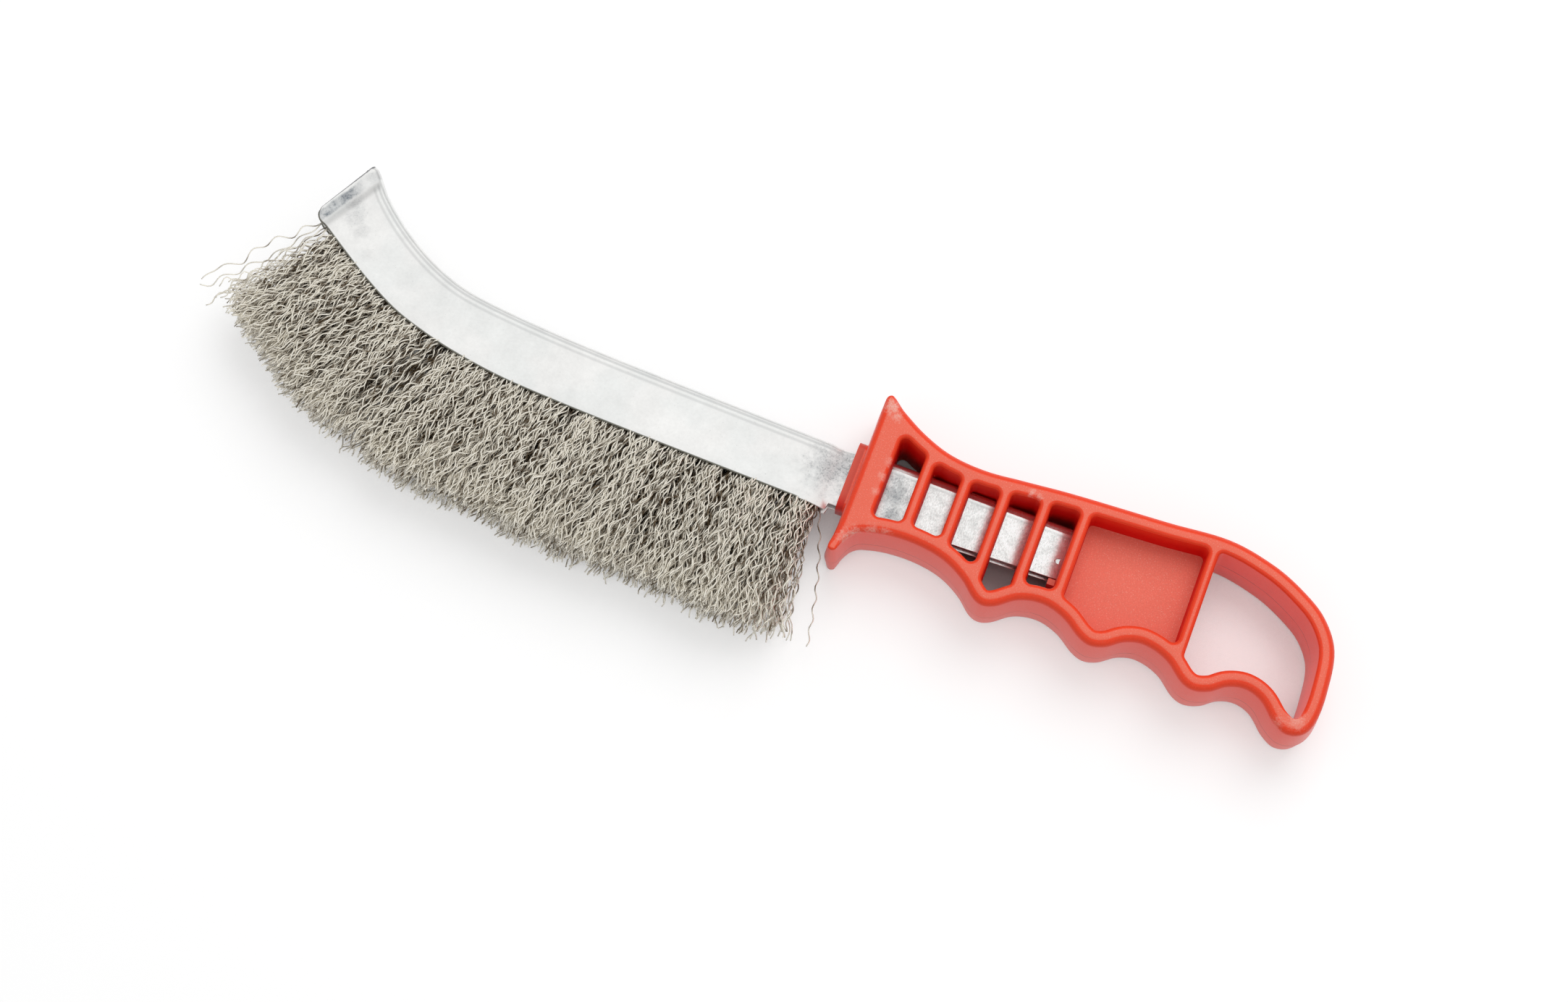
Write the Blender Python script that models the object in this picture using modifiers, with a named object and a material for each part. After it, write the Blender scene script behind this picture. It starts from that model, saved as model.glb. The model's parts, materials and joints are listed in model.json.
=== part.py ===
"""A wire hand brush, lying flat on Z = 0 with its tip towards -X and its bristles towards -Y.

A folded steel channel grips a strip of wire bristles round a retaining wire, and its tang is
pushed through the guard and the ribs of a moulded open-lattice handle. Lengths are metres. The
origin is the middle of the guard's underside, with +X along the handle towards its end.
"""

import math
import random

import bmesh
import bpy
from mathutils import Vector
from mathutils.geometry import interpolate_bezier

# Handle
handle_length = 0.1226
handle_thickness = 0.020
handle_edge_radius = 0.00084
handle_draft = 0.0007
window_draft = 0.0003
guard_height = 0.042
guard_thickness = 0.0068
rail_width = 0.0046
window_count = 5
window_length = 0.0071
window_corner_radius = 0.0014
rib_thickness = 0.0027
panel_length = 0.0288
panel_web_thickness = 0.003
panel_web_bite = 0.0012
loop_rib_thickness = 0.0024
loop_corner_radius = 0.0012

# Outline of the handle: distance behind the guard's front over handle_length, height over guard_height
grip_shares = (
    (0.000, -0.238), (-0.002, -0.371), (-0.004, -0.429), (-0.000, -0.460), (0.011, -0.474),
    (0.022, -0.460), (0.027, -0.429), (0.033, -0.381), (0.044, -0.333), (0.059, -0.305),
    (0.108, -0.274), (0.164, -0.271), (0.218, -0.300), (0.263, -0.367), (0.297, -0.450),
    (0.321, -0.471), (0.347, -0.448), (0.385, -0.369), (0.428, -0.343), (0.471, -0.376),
    (0.512, -0.452), (0.540, -0.476), (0.571, -0.452), (0.604, -0.386), (0.637, -0.364),
    (0.682, -0.400), (0.723, -0.490), (0.752, -0.514), (0.786, -0.486), (0.815, -0.426),
    (0.845, -0.405), (0.876, -0.433), (0.911, -0.524), (0.944, -0.567), (0.979, -0.533),
)
back_shares = (
    (0.997, -0.433), (1.000, -0.238), (0.988, 0.005), (0.949, 0.171), (0.894, 0.279),
    (0.825, 0.364), (0.729, 0.417), (0.606, 0.393), (0.410, 0.360), (0.312, 0.333),
    (0.235, 0.314), (0.164, 0.333), (0.105, 0.393), (0.050, 0.481), (0.026, 0.529),
    (0.015, 0.540), (0.005, 0.527), (0.000, 0.495), (0.000, 0.333),
)

# Collar round the channel on the guard's front, and the stop under the tang's end
collar_reach = 0.0018
collar_thickness = 0.008
collar_corner_radius = 0.0025
collar_back_wall = 0.0025
collar_grip_wall = 0.0006
collar_bite = 0.0015
stop_length = 0.0020
stop_height = 0.0015
stop_thickness = 0.005
stop_bite = 0.001

# Channel: a folded strip, open towards the bristles, whose narrower end is the tang
sheet_thickness = 0.0008
bend_radius = 0.0016
blade_length = 0.1433
blade_height = 0.0161
blade_width = 0.0075
tip_lip_width = 0.0062
tip_lip_length = 0.0025
tip_valley_width = 0.0050
tip_valley_place = 0.0050
tip_pinch_length = 0.0085
neck_length = 0.0046
notch_length = 0.0004
notch_gap = 0.0024
tang_bite = 0.0008
tang_width = 0.0050
tang_height = 0.0151
barb_length = 0.0022
barb_height = 0.0016
barb_rise = 0.0007
barb_root = 0.0003
barb_setback = 0.0017
barb_place_share = 0.32

# Edges of the blade: distance from the notch over blade_length, height over blade_height
blade_spine_shares = (
    (0.000, 0.460), (0.358, 0.553), (0.494, 0.602), (0.604, 0.671), (0.693, 0.765), (0.741, 0.880),
    (0.795, 1.093), (0.852, 1.410), (0.899, 1.757), (0.921, 1.981), (0.936, 2.130), (0.945, 2.168),
)
blade_mouth_shares = (
    (0.000, -0.528), (0.358, -0.447), (0.491, -0.404), (0.599, -0.342), (0.690, -0.217),
    (0.755, -0.075), (0.811, 0.093), (0.876, 0.391), (0.935, 0.714), (0.983, 0.988),
    (0.996, 1.050), (1.001, 1.130), (1.000, 1.261),
)
# Edges of the tang: distance from the notch over the tang's length, height over tang_height
tang_spine_shares = ((0.0, 0.500), (0.19, 0.570), (1.0, 0.535))
tang_mouth_shares = ((0.0, -0.445), (0.19, -0.430), (1.0, -0.345))

# Bristles, in tufts folded round the retaining wire
fit_clearance = 0.0003
tuft_count = 10
strand_rows = 4
strand_columns = 8
strand_radius = 0.00042
row_shift_share = 0.2
strand_tip_share = 0.75
strand_bite = 0.0012
tip_bristle_length = 0.0345
heel_bristle_length = 0.0365
length_spread_share = 0.05
floor_press = 0.0005
tip_fan = math.radians(14)
heel_fan = math.radians(8)
tip_fan_length = 0.050
heel_fan_length = 0.022
backing_inset = 0.0008
tip_margin = 0.0058
heel_margin = 0.0022
retaining_wire_radius = 0.0010
wire_cover = 0.0013
wire_tip_margin = 0.0095
wire_heel_margin = 0.0046

# How finely the shapes are drawn
outline_steps = 3
corner_steps = 3
edge_steps = 1
bend_steps = 3
least_corner = math.radians(32)
fold_share = 0.9999
edge_room_share = 0.95
arc_room_share = 0.45
station_gap = 0.0050
wire_sides = 8
strand_sides = 3
strand_spans = 3
weld_distance = 1e-7
cut_overrun = 0.001
strand_seed = 11

mid_height = handle_thickness / 2
guard_front = -guard_thickness / 2 - handle_draft
windows_start = guard_thickness / 2
rib_pitch = window_length + rib_thickness
panel_start = windows_start + window_count * rib_pitch
loop_start = panel_start + panel_length + loop_rib_thickness
collar_front = guard_front - collar_reach
tang_reach = panel_start - rib_thickness + tang_bite
notch = collar_front - notch_gap
tang_start = notch + notch_length
tunnel_radius = (retaining_wire_radius + fit_clearance) / math.cos(math.pi / wire_sides)


def clear_scene():
    for thing in list(bpy.data.objects):
        bpy.data.objects.remove(thing, do_unlink=True)


def new_collection(name):
    made = bpy.data.collections.new(name)
    bpy.context.scene.collection.children.link(made)
    return made


def new_material(name, colour, roughness, metallic):
    made = bpy.data.materials.new(name)
    made.use_nodes = True
    shader = made.node_tree.nodes["Principled BSDF"]
    shader.inputs["Base Color"].default_value = (*colour, 1)
    shader.inputs["Roughness"].default_value = roughness
    shader.inputs["Metallic"].default_value = metallic
    return made


def add_part(name, mesh, material):
    mesh.materials.clear()
    mesh.materials.append(material)
    made = bpy.data.objects.new(name, mesh)
    brush.objects.link(made)
    made.parent = root
    return made


def add_cutter(name, mesh):
    made = bpy.data.objects.new(name, mesh)
    cutters.objects.link(made)
    made.hide_render = True
    made.display_type = "WIRE"
    return made


def boolean(target, tool, operation):
    modifier = target.modifiers.new(tool.name, "BOOLEAN")
    modifier.object = tool
    modifier.operation = operation
    modifier.solver = "EXACT"


# Outlines

def placed(shares, start, length, height):
    """Points in the plane of the handle, from shares of a length along X and of a height."""
    return [Vector((start + across * length, up * height)) for across, up in shares]


def smooth_curve(points, steps, closed=False):
    """A smooth curve through the points, each span drawn as a Bezier curve of this many steps."""
    count = len(points)
    drawn = []
    for index in range(count if closed else count - 1):
        first, second = points[index], points[(index + 1) % count]
        before = points[index - 1] if index or closed else first
        after = points[(index + 2) % count] if closed or index + 2 < count else second
        reach = (second - first).length / 3
        leaving = first + reach * (second - before).normalized()
        arriving = second - reach * (after - first).normalized()
        span = interpolate_bezier(first, leaving, arriving, second, steps + 1)
        drawn.extend(point.to_2d() for point in span[:-1])
    if not closed:
        drawn.append(points[-1])
    return drawn


def turn_at(outline, index):
    """How far an outline turns at one of its points, to the left where it is positive."""
    back = outline[index] - outline[index - 1]
    ahead = outline[(index + 1) % len(outline)] - outline[index]
    return math.atan2(back.cross(ahead), back.dot(ahead))


def run_between(outline, start, end):
    """The length along an outline from one of its points on to another."""
    length = 0.0
    while start != end:
        after = (start + 1) % len(outline)
        length += (outline[after] - outline[start]).length
        start = after
    return length


def walked(points, start, step, distance):
    """The point this far along an outline from one of its points, and the indices passed."""
    passed = []
    here = start
    while True:
        ahead = (here + step) % len(points)
        length = (points[ahead] - points[here]).length
        if length >= distance:
            return points[here].lerp(points[ahead], distance / length), passed
        distance -= length
        passed.append(ahead)
        here = ahead


def distance_to(point, outline):
    """The distance from a point to the nearest side of an outline."""
    distances = []
    for index, end in enumerate(outline):
        run = end - outline[index - 1]
        share = (point - outline[index - 1]).dot(run) / run.length_squared
        distances.append((point - end + (1 - min(max(share, 0.0), 1.0)) * run).length)
    return min(distances)


def moved_in(outline, index, distance):
    """Where a point of an outline goes as its sides move inwards, for one that runs counterclockwise."""
    point = outline[index]
    back = (point - outline[index - 1]).normalized()
    ahead = (outline[(index + 1) % len(outline)] - point).normalized()
    along = (back + ahead).normalized()
    return point + distance / along.dot(ahead) * Vector((-along.y, along.x))


def inset(outline, distance):
    """An outline moved inwards, without what would fold over."""
    moved = [moved_in(outline, index, distance) for index in range(len(outline))]
    reach = fold_share * abs(distance)
    return [point for point in moved if distance_to(point, outline) > reach]


def room_inside(outline):
    """How far an outline can move inwards before it uses up the shortest edge of its bends."""
    rooms = []
    for index, point in enumerate(outline):
        after = (index + 1) % len(outline)
        closing = math.tan(turn_at(outline, index) / 2) + math.tan(turn_at(outline, after) / 2)
        if closing > 0:
            rooms.append((outline[after] - point).length / closing)
    return min(rooms)


def clipped(outline, keep):
    """The part of an outline where keep(point), a signed distance to a line, is positive."""
    kept = []
    for index, point in enumerate(outline):
        before = outline[index - 1]
        here, there = keep(point), keep(before)
        if (here > 0) != (there > 0):
            kept.append(before.lerp(point, there / (there - here)))
        if here > 0:
            kept.append(point)
    return kept


def between(outline, low, high):
    """The part of an outline between two values of X."""
    beyond_low = clipped(outline, lambda point: point.x - low)
    return clipped(beyond_low, lambda point: high - point.x)


def rounded(outline, radius):
    """An outline with each sharp corner turned into an arc, which stays clear of the next one."""
    turns = [abs(turn_at(outline, index)) for index in range(len(outline))]
    corners = [index for index, turn in enumerate(turns) if turn >= least_corner]
    arcs = {}
    dropped = set()
    for place, index in enumerate(corners):
        point, turn = outline[index], turns[index]
        room = min(
            run_between(outline, corners[place - 1], index),
            run_between(outline, index, corners[(place + 1) % len(corners)]),
        )
        trim = min(radius * math.tan(turn / 2), arc_room_share * room)
        start, passed_back = walked(outline, index, -1, trim)
        end, passed_ahead = walked(outline, index, 1, trim)
        grip = 4 / 3 * math.tan(turn / 4) / math.tan(turn / 2)
        arcs[index] = interpolate_bezier(
            start, start.lerp(point, grip), end.lerp(point, grip), end, corner_steps + 1
        )
        dropped.update(passed_back, passed_ahead)
    smooth = []
    for index, point in enumerate(outline):
        if index in arcs:
            smooth.extend(place.to_2d() for place in arcs[index])
        elif index not in dropped:
            smooth.append(point)
    return smooth


def raised(point, height):
    return Vector((point.x, point.y, height))


def rectangle(low_x, high_x, low_y, high_y):
    return [
        Vector((low_x, low_y)), Vector((high_x, low_y)),
        Vector((high_x, high_y)), Vector((low_x, high_y)),
    ]


# Solids

def mesh_of(curve_object):
    """The mesh of a curve, with its caps welded to its sides, in place of the curve."""
    graph = bpy.context.evaluated_depsgraph_get()
    mesh = bpy.data.meshes.new_from_object(curve_object.evaluated_get(graph))
    mesh.transform(curve_object.matrix_world)
    shape = bmesh.new()
    shape.from_mesh(mesh)
    bmesh.ops.remove_doubles(shape, verts=shape.verts, dist=weld_distance)
    bmesh.ops.recalc_face_normals(shape, faces=shape.faces)
    shape.to_mesh(mesh)
    shape.free()
    bpy.data.objects.remove(curve_object, do_unlink=True)
    return mesh


def curve_of(name, lines, closed):
    """A curve object with a straight-sided spline through each list of points."""
    curve = bpy.data.curves.new(name, "CURVE")
    for line in lines:
        spline = curve.splines.new("POLY")
        spline.points.add(len(line) - 1)
        spline.use_cyclic_u = closed
        for end, point in zip(spline.points, line):
            end.co = (*point.to_3d(), 1)
    made = bpy.data.objects.new(name, curve)
    cutters.objects.link(made)
    return made


def plate(name, outlines, thickness, edge_radius=0.0):
    """A flat solid at the handle's mid-height. Every outline after the first is a hole in it."""
    lines = [outlines[0]] + [hole[::-1] for hole in outlines[1:]]
    made = curve_of(name, lines, closed=True)
    curve = made.data
    curve.dimensions = "2D"
    curve.fill_mode = "BOTH"
    curve.extrude = thickness / 2 - edge_radius
    curve.bevel_depth = edge_radius
    curve.bevel_resolution = edge_steps
    curve.offset = -edge_radius
    made.location.z = mid_height
    bpy.context.view_layer.update()
    return mesh_of(made)


def draft_walls(mesh, walls):
    """Moves each wall at mid-height, as a mould's halves need. walls has outlines with distances inwards."""
    shape = bmesh.new()
    shape.from_mesh(mesh)
    cut = bmesh.ops.bisect_plane(
        shape, geom=[*shape.verts, *shape.edges, *shape.faces],
        plane_co=(0, 0, mid_height), plane_no=(0, 0, 1),
    )
    middle = [thing for thing in cut["geom_cut"] if isinstance(thing, bmesh.types.BMVert)]
    moves = []
    for outline, distance in walls:
        for index, point in enumerate(outline):
            nearest = min(middle, key=lambda vert: (vert.co.xy - point).length)
            moves.append((nearest, moved_in(outline, index, distance)))
    for vert, place in moves:
        vert.co.xy = place
    shape.to_mesh(mesh)
    shape.free()


def tubes(name, paths, radius, sides, end_share=1.0):
    """A tube along each path, all in one mesh, tapering to a share of its radius."""
    turns = [2 * math.pi * side / sides for side in range(sides)]
    ring = [radius * Vector((math.cos(turn), math.sin(turn))) for turn in turns]
    profile = curve_of(name + "_profile", [ring], closed=True)
    made = curve_of(name, paths, closed=False)
    made.data.dimensions = "3D"
    made.data.bevel_mode = "OBJECT"
    made.data.bevel_object = profile
    made.data.use_fill_caps = True
    for spline in made.data.splines:
        last = len(spline.points) - 1
        for index, point in enumerate(spline.points):
            point.radius = 1 + (end_share - 1) * index / last
    mesh = mesh_of(made)
    bpy.data.objects.remove(profile, do_unlink=True)
    return mesh


def loft(name, sections, solid):
    """A mesh through a row of sections with as many points each, closed all round if solid."""
    shape = bmesh.new()
    rows = [[shape.verts.new(point) for point in section] for section in sections]
    count = len(rows[0])
    for row, after in zip(rows, rows[1:]):
        for index in range(count if solid else count - 1):
            following = (index + 1) % count
            shape.faces.new((row[index], row[following], after[following], after[index]))
    if solid:
        shape.faces.new(rows[0][::-1])
        shape.faces.new(rows[-1])
    mesh = bpy.data.meshes.new(name)
    shape.to_mesh(mesh)
    shape.free()
    return mesh


# Channel: every place along the blade is a distance from its tip

class Blade:
    """The two edges of the blade, drawn from the notch to the tip, and its width along them."""

    def __init__(self):
        self.spine = smooth_curve(
            placed(blade_spine_shares, notch, -blade_length, blade_height), outline_steps
        )
        self.mouth = smooth_curve(
            placed(blade_mouth_shares, notch, -blade_length, blade_height), outline_steps
        )
        self.run = (self.length(self.spine) + self.length(self.mouth)) / 2
        self.width_stops = (
            (0.0, tip_lip_width),
            (tip_lip_length, tip_lip_width),
            (tip_valley_place, tip_valley_width),
            (tip_pinch_length, blade_width),
            (self.run - neck_length, blade_width),
            (self.run, tang_width),
        )

    @staticmethod
    def length(line):
        return sum((second - first).length for first, second in zip(line, line[1:]))

    def edge(self, line, distance):
        share = 1 - distance / self.run
        return walked(line, 0, 1, share * self.length(line))[0] if share < 1 else line[-1]

    def width(self, distance):
        for (low, low_width), (high, high_width) in zip(self.width_stops, self.width_stops[1:]):
            if distance <= high:
                share = (distance - low) / (high - low)
                return low_width + share * (high_width - low_width)
        return tang_width

    def at(self, distance):
        """The mouth, the unit vector from it to the spine, the height between them and the width."""
        mouth = self.edge(self.mouth, distance)
        across = self.edge(self.spine, distance) - mouth
        return mouth, across.normalized(), across.length, self.width(distance)

    def stations(self, low, high):
        """Distances from low to high, at each change of width and no further apart than station_gap."""
        stops = [stop for stop, _ in self.width_stops if low < stop < high]
        ends = [low, *stops, high]
        places = [low]
        for start, end in zip(ends, ends[1:]):
            spans = max(1, math.ceil((end - start) / station_gap))
            places.extend(start + (end - start) * span / spans for span in range(1, spans + 1))
        return places


def channel_section(mouth, across, height, width):
    """The outer face of the folded sheet, from one lip over the spine to the other."""
    centre = mouth + (height - bend_radius) * across
    flat = width / 2 - bend_radius
    upper = [raised(mouth, mid_height + width / 2)]
    lower = [raised(mouth, mid_height - width / 2)]
    for step in range(bend_steps + 1):
        turn = math.pi / 2 * step / bend_steps
        place = centre + bend_radius * math.sin(turn) * across
        rise = flat + bend_radius * math.cos(turn)
        upper.append(raised(place, mid_height + rise))
        lower.append(raised(place, mid_height - rise))
    return lower + upper[::-1]


def tang_edges():
    """The tang's spine and mouth, from the notch to its end."""
    length = tang_reach - tang_start
    spine = placed(tang_spine_shares, tang_start, length, tang_height)
    mouth = placed(tang_mouth_shares, tang_start, length, tang_height)
    return spine, mouth


def make_barb():
    """A tongue punched out of the tang's upper flank, highest towards the guard."""
    spine, mouth = tang_edges()
    middle = mouth[-1].lerp(spine[-1], barb_place_share)
    shape = bmesh.new()
    bmesh.ops.create_cube(shape, size=1)
    flank = mid_height + tang_width / 2
    for corner in shape.verts:
        high = corner.co.z > 0
        towards_guard = corner.co.x < 0
        corner.co.x = tang_reach - barb_setback + (corner.co.x - 1 / 2) * barb_length
        corner.co.y = middle.y + corner.co.y * barb_height
        corner.co.z = flank + (barb_rise if high and towards_guard else 0.0)
        if not high:
            corner.co.z = flank - barb_root
    mesh = bpy.data.meshes.new("barb")
    shape.to_mesh(mesh)
    shape.free()
    return add_cutter("barb", mesh)


def make_channel():
    sections = [channel_section(*blade.at(place)) for place in blade.stations(0.0, blade.run)]
    for spine, mouth in zip(*tang_edges()):
        across = spine - mouth
        sections.append(
            channel_section(mouth, across.normalized(), across.length, tang_width)
        )
    made = add_part("channel", loft("channel", sections, solid=False), zinc_steel)
    wall = made.modifiers.new("sheet", "SOLIDIFY")
    wall.thickness = sheet_thickness
    wall.offset = -1
    wall.use_even_offset = True
    boolean(made, make_barb(), "UNION")


# Bristles

def backing_section(mouth, across, height, width):
    """The folded roots of a tuft, between the channel's flanks."""
    half = width / 2 - sheet_thickness - fit_clearance
    low = mouth + backing_inset * across
    high = mouth + (height - bend_radius) * across
    return [
        raised(low, mid_height - half), raised(high, mid_height - half),
        raised(high, mid_height + half), raised(low, mid_height + half),
    ]


def wire_centre(distance):
    mouth, across, height, _ = blade.at(distance)
    return raised(mouth + (height - bend_radius - wire_cover - tunnel_radius) * across, mid_height)


def fan_angle(distance):
    """How far a strand leans towards the tip, or towards the handle where it is negative."""
    tip_share = max(0.0, 1 - distance / tip_fan_length)
    heel_share = max(0.0, 1 - (blade.run - distance) / heel_fan_length)
    return tip_fan * tip_share - heel_fan * heel_share


def strand_path(distance, row_share):
    """From inside the backing out past the lips. row_share is -1 for the lowest row, 1 for the highest."""
    mouth, across, _, width = blade.at(distance)
    half = width / 2 - sheet_thickness - fit_clearance - strand_radius
    low_tip, high_tip = -floor_press, handle_thickness - strand_radius
    tip_height = low_tip + (high_tip - low_tip) * (row_share + 1) / 2
    root_height = mid_height + row_share * half
    length = tip_bristle_length + (heel_bristle_length - tip_bristle_length) * distance / blade.run
    length *= 1 + length_spread_share * chance.uniform(-1, 1)
    angle = fan_angle(distance)
    lean = Vector((across.y, -across.x)) * -math.sin(angle) - across * math.cos(angle)
    path = [raised(mouth + (backing_inset + strand_bite) * across, root_height)]
    for span in range(strand_spans):
        share = span / (strand_spans - 1)
        height = root_height + share * (tip_height - root_height)
        path.append(raised(mouth + share * length * lean, height))
    return path


def strands(name, low, high):
    """The strands of one tuft, cut flat where they meet the floor."""
    gap = (high - low) / strand_columns
    paths = []
    for row in range(strand_rows):
        row_share = 2 * row / (strand_rows - 1) - 1
        shift_share = 1 / 2 + (row_shift_share if row % 2 else -row_shift_share)
        for column in range(strand_columns):
            paths.append(strand_path(low + (column + shift_share) * gap, row_share))
    mesh = tubes(name, paths, strand_radius, strand_sides, strand_tip_share)
    shape = bmesh.new()
    shape.from_mesh(mesh)
    bmesh.ops.bisect_plane(
        shape, geom=[*shape.verts, *shape.edges, *shape.faces],
        plane_co=(0, 0, 0), plane_no=(0, 0, 1), clear_inner=True,
    )
    rims = [edge for edge in shape.edges if edge.is_boundary]
    bmesh.ops.holes_fill(shape, edges=rims)
    bmesh.ops.recalc_face_normals(shape, faces=shape.faces)
    shape.to_mesh(mesh)
    shape.free()
    return add_cutter(name, mesh)


def make_bristles():
    wire_end = blade.run - wire_heel_margin
    wire_path = [wire_centre(place) for place in blade.stations(wire_tip_margin, wire_end)]
    wire = tubes("retaining_wire", [wire_path], retaining_wire_radius, wire_sides)
    add_part("retaining_wire", wire, steel_wire)
    before = wire_centre(wire_tip_margin - fit_clearance)
    after = wire_centre(wire_end + fit_clearance)
    bore = tubes("tunnel", [[before, *wire_path, after]], tunnel_radius, wire_sides)
    tunnel = add_cutter("tunnel", bore)
    pitch = (blade.run - tip_margin - heel_margin) / tuft_count
    for index in range(tuft_count):
        name = f"bristle_tuft_{index + 1:02d}"
        low = tip_margin + index * pitch
        high = low + pitch - fit_clearance
        sections = [backing_section(*blade.at(place)) for place in blade.stations(low, high)]
        tuft = add_part(name, loft(name, sections, solid=True), bristle_steel)
        boolean(tuft, tunnel, "DIFFERENCE")
        boolean(tuft, strands(f"strands_{index + 1:02d}", low, high), "UNION")


# Handle

def slot_outline():
    """The tang's way through the collar, the guard and the ribs."""
    spine, mouth = tang_edges()
    front = collar_front - cut_overrun
    end = tang_reach + fit_clearance
    gap = Vector((0, fit_clearance))
    low = [Vector((front, mouth[0].y)), mouth[1], Vector((end, mouth[-1].y))]
    high = [Vector((end, spine[-1].y)), spine[1], Vector((front, spine[0].y))]
    return [point - gap for point in low] + [point + gap for point in high]


def make_collar():
    """A block with rounded edges along the tang, standing out of the guard's front."""
    spine, mouth = tang_edges()
    low = mouth[0].y - fit_clearance - collar_grip_wall
    high = spine[0].y + fit_clearance + collar_back_wall
    shape = bmesh.new()
    bmesh.ops.create_cube(shape, size=1)
    for corner in shape.verts:
        corner.co.x = collar_front if corner.co.x < 0 else guard_front + collar_bite
        corner.co.y = low if corner.co.y < 0 else high
        corner.co.z = mid_height + corner.co.z * collar_thickness
    lengthwise = [edge for edge in shape.edges if edge.verts[0].co.yz == edge.verts[1].co.yz]
    bmesh.ops.bevel(
        shape, geom=lengthwise, offset=collar_corner_radius, affect="EDGES",
        segments=corner_steps, profile=0.5,
    )
    mesh = bpy.data.meshes.new("collar")
    shape.to_mesh(mesh)
    shape.free()
    return add_cutter("collar", mesh)


def make_stop():
    """A small block on the last rib's wall, under the end of the tang."""
    _, mouth = tang_edges()
    top = mouth[-1].y - fit_clearance
    back = panel_start - rib_thickness
    outline = rectangle(back - stop_length, back + stop_bite, top - stop_height, top)
    return add_cutter("stop", plate("stop", [outline], stop_thickness))


def make_handle():
    widest = smooth_curve(
        placed(grip_shares + back_shares, guard_front, handle_length, guard_height),
        outline_steps, closed=True,
    )
    rim = inset(widest, handle_draft)
    inner = inset(widest, rail_width)
    holes = []
    for index in range(window_count):
        start = windows_start + index * rib_pitch
        holes.append(rounded(between(inner, start, start + window_length), window_corner_radius))
    panel = rounded(between(inner, panel_start, panel_start + panel_length), window_corner_radius)
    holes.append(panel)
    holes.append(rounded(between(inner, loop_start, handle_length), loop_corner_radius))
    fillet = min(handle_edge_radius, edge_room_share * room_inside(rim))
    lattice = plate("handle", [rim, *holes], handle_thickness, fillet)
    draft_walls(lattice, [(rim, -handle_draft)] + [(hole, window_draft) for hole in holes])
    made = add_part("handle", lattice, red_plastic)
    web = plate("web", [inset(panel, -panel_web_bite)], panel_web_thickness)
    slot = plate("slot", [slot_outline()], tang_width + 2 * fit_clearance)
    boolean(made, add_cutter("web", web), "UNION")
    boolean(made, make_collar(), "UNION")
    boolean(made, make_stop(), "UNION")
    boolean(made, add_cutter("slot", slot), "DIFFERENCE")


clear_scene()
brush = new_collection("wire_hand_brush")
cutters = new_collection("cutters")
root = bpy.data.objects.new("wire_hand_brush", None)
brush.objects.link(root)
red_plastic = new_material("red_plastic", (0.72, 0.06, 0.03), 0.45, 0.0)
zinc_steel = new_material("zinc_steel", (0.72, 0.74, 0.75), 0.35, 1.0)
steel_wire = new_material("steel_wire", (0.55, 0.54, 0.52), 0.40, 1.0)
bristle_steel = new_material("bristle_steel", (0.46, 0.43, 0.38), 0.45, 1.0)
chance = random.Random(strand_seed)
blade = Blade()
make_handle()
make_channel()
make_bristles()
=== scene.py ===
"""How the wire hand brush looks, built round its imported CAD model.

Lengths are metres, in the CAD's frame: the origin is the middle of the guard's underside, +X runs
along the handle, the bristles point to -Y and the brush lies on Z = 0.
"""

import json
import math
import random

import bmesh
import bpy
from mathutils import Matrix, Vector
from mathutils.geometry import interpolate_bezier

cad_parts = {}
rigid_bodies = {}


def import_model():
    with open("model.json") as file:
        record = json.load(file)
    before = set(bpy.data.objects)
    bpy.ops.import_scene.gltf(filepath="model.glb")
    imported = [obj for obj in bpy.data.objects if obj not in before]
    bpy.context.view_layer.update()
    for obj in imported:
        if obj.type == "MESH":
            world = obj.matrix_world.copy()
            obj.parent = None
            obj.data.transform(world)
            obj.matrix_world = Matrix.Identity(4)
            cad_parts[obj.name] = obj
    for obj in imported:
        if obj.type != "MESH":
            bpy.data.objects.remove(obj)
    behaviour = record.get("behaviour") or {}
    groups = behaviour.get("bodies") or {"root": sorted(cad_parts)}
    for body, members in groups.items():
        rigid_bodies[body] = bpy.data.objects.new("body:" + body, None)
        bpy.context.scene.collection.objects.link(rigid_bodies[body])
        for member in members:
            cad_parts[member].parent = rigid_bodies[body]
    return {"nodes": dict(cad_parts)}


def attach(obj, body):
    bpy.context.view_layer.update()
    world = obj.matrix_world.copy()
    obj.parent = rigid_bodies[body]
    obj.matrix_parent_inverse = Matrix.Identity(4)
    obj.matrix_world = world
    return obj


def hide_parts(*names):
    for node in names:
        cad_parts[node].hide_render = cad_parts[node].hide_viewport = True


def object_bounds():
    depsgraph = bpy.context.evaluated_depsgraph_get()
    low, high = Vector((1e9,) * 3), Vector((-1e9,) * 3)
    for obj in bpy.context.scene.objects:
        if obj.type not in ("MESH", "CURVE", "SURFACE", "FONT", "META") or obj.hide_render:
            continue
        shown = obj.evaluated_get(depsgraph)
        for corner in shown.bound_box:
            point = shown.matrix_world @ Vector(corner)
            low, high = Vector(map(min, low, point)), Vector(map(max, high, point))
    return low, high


# The handle's sizes, which are the CAD's
handle_length = 0.1226
handle_thickness = 0.020
handle_draft = 0.0007
window_draft = 0.0003
guard_height = 0.042
guard_thickness = 0.0068
rail_width = 0.0046
window_count = 5
window_length = 0.0071
window_corner_radius = 0.0014
rib_thickness = 0.0027
panel_length = 0.0288
panel_web_thickness = 0.003
panel_web_bite = 0.0012
loop_rib_thickness = 0.0024
loop_corner_radius = 0.0012
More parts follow.
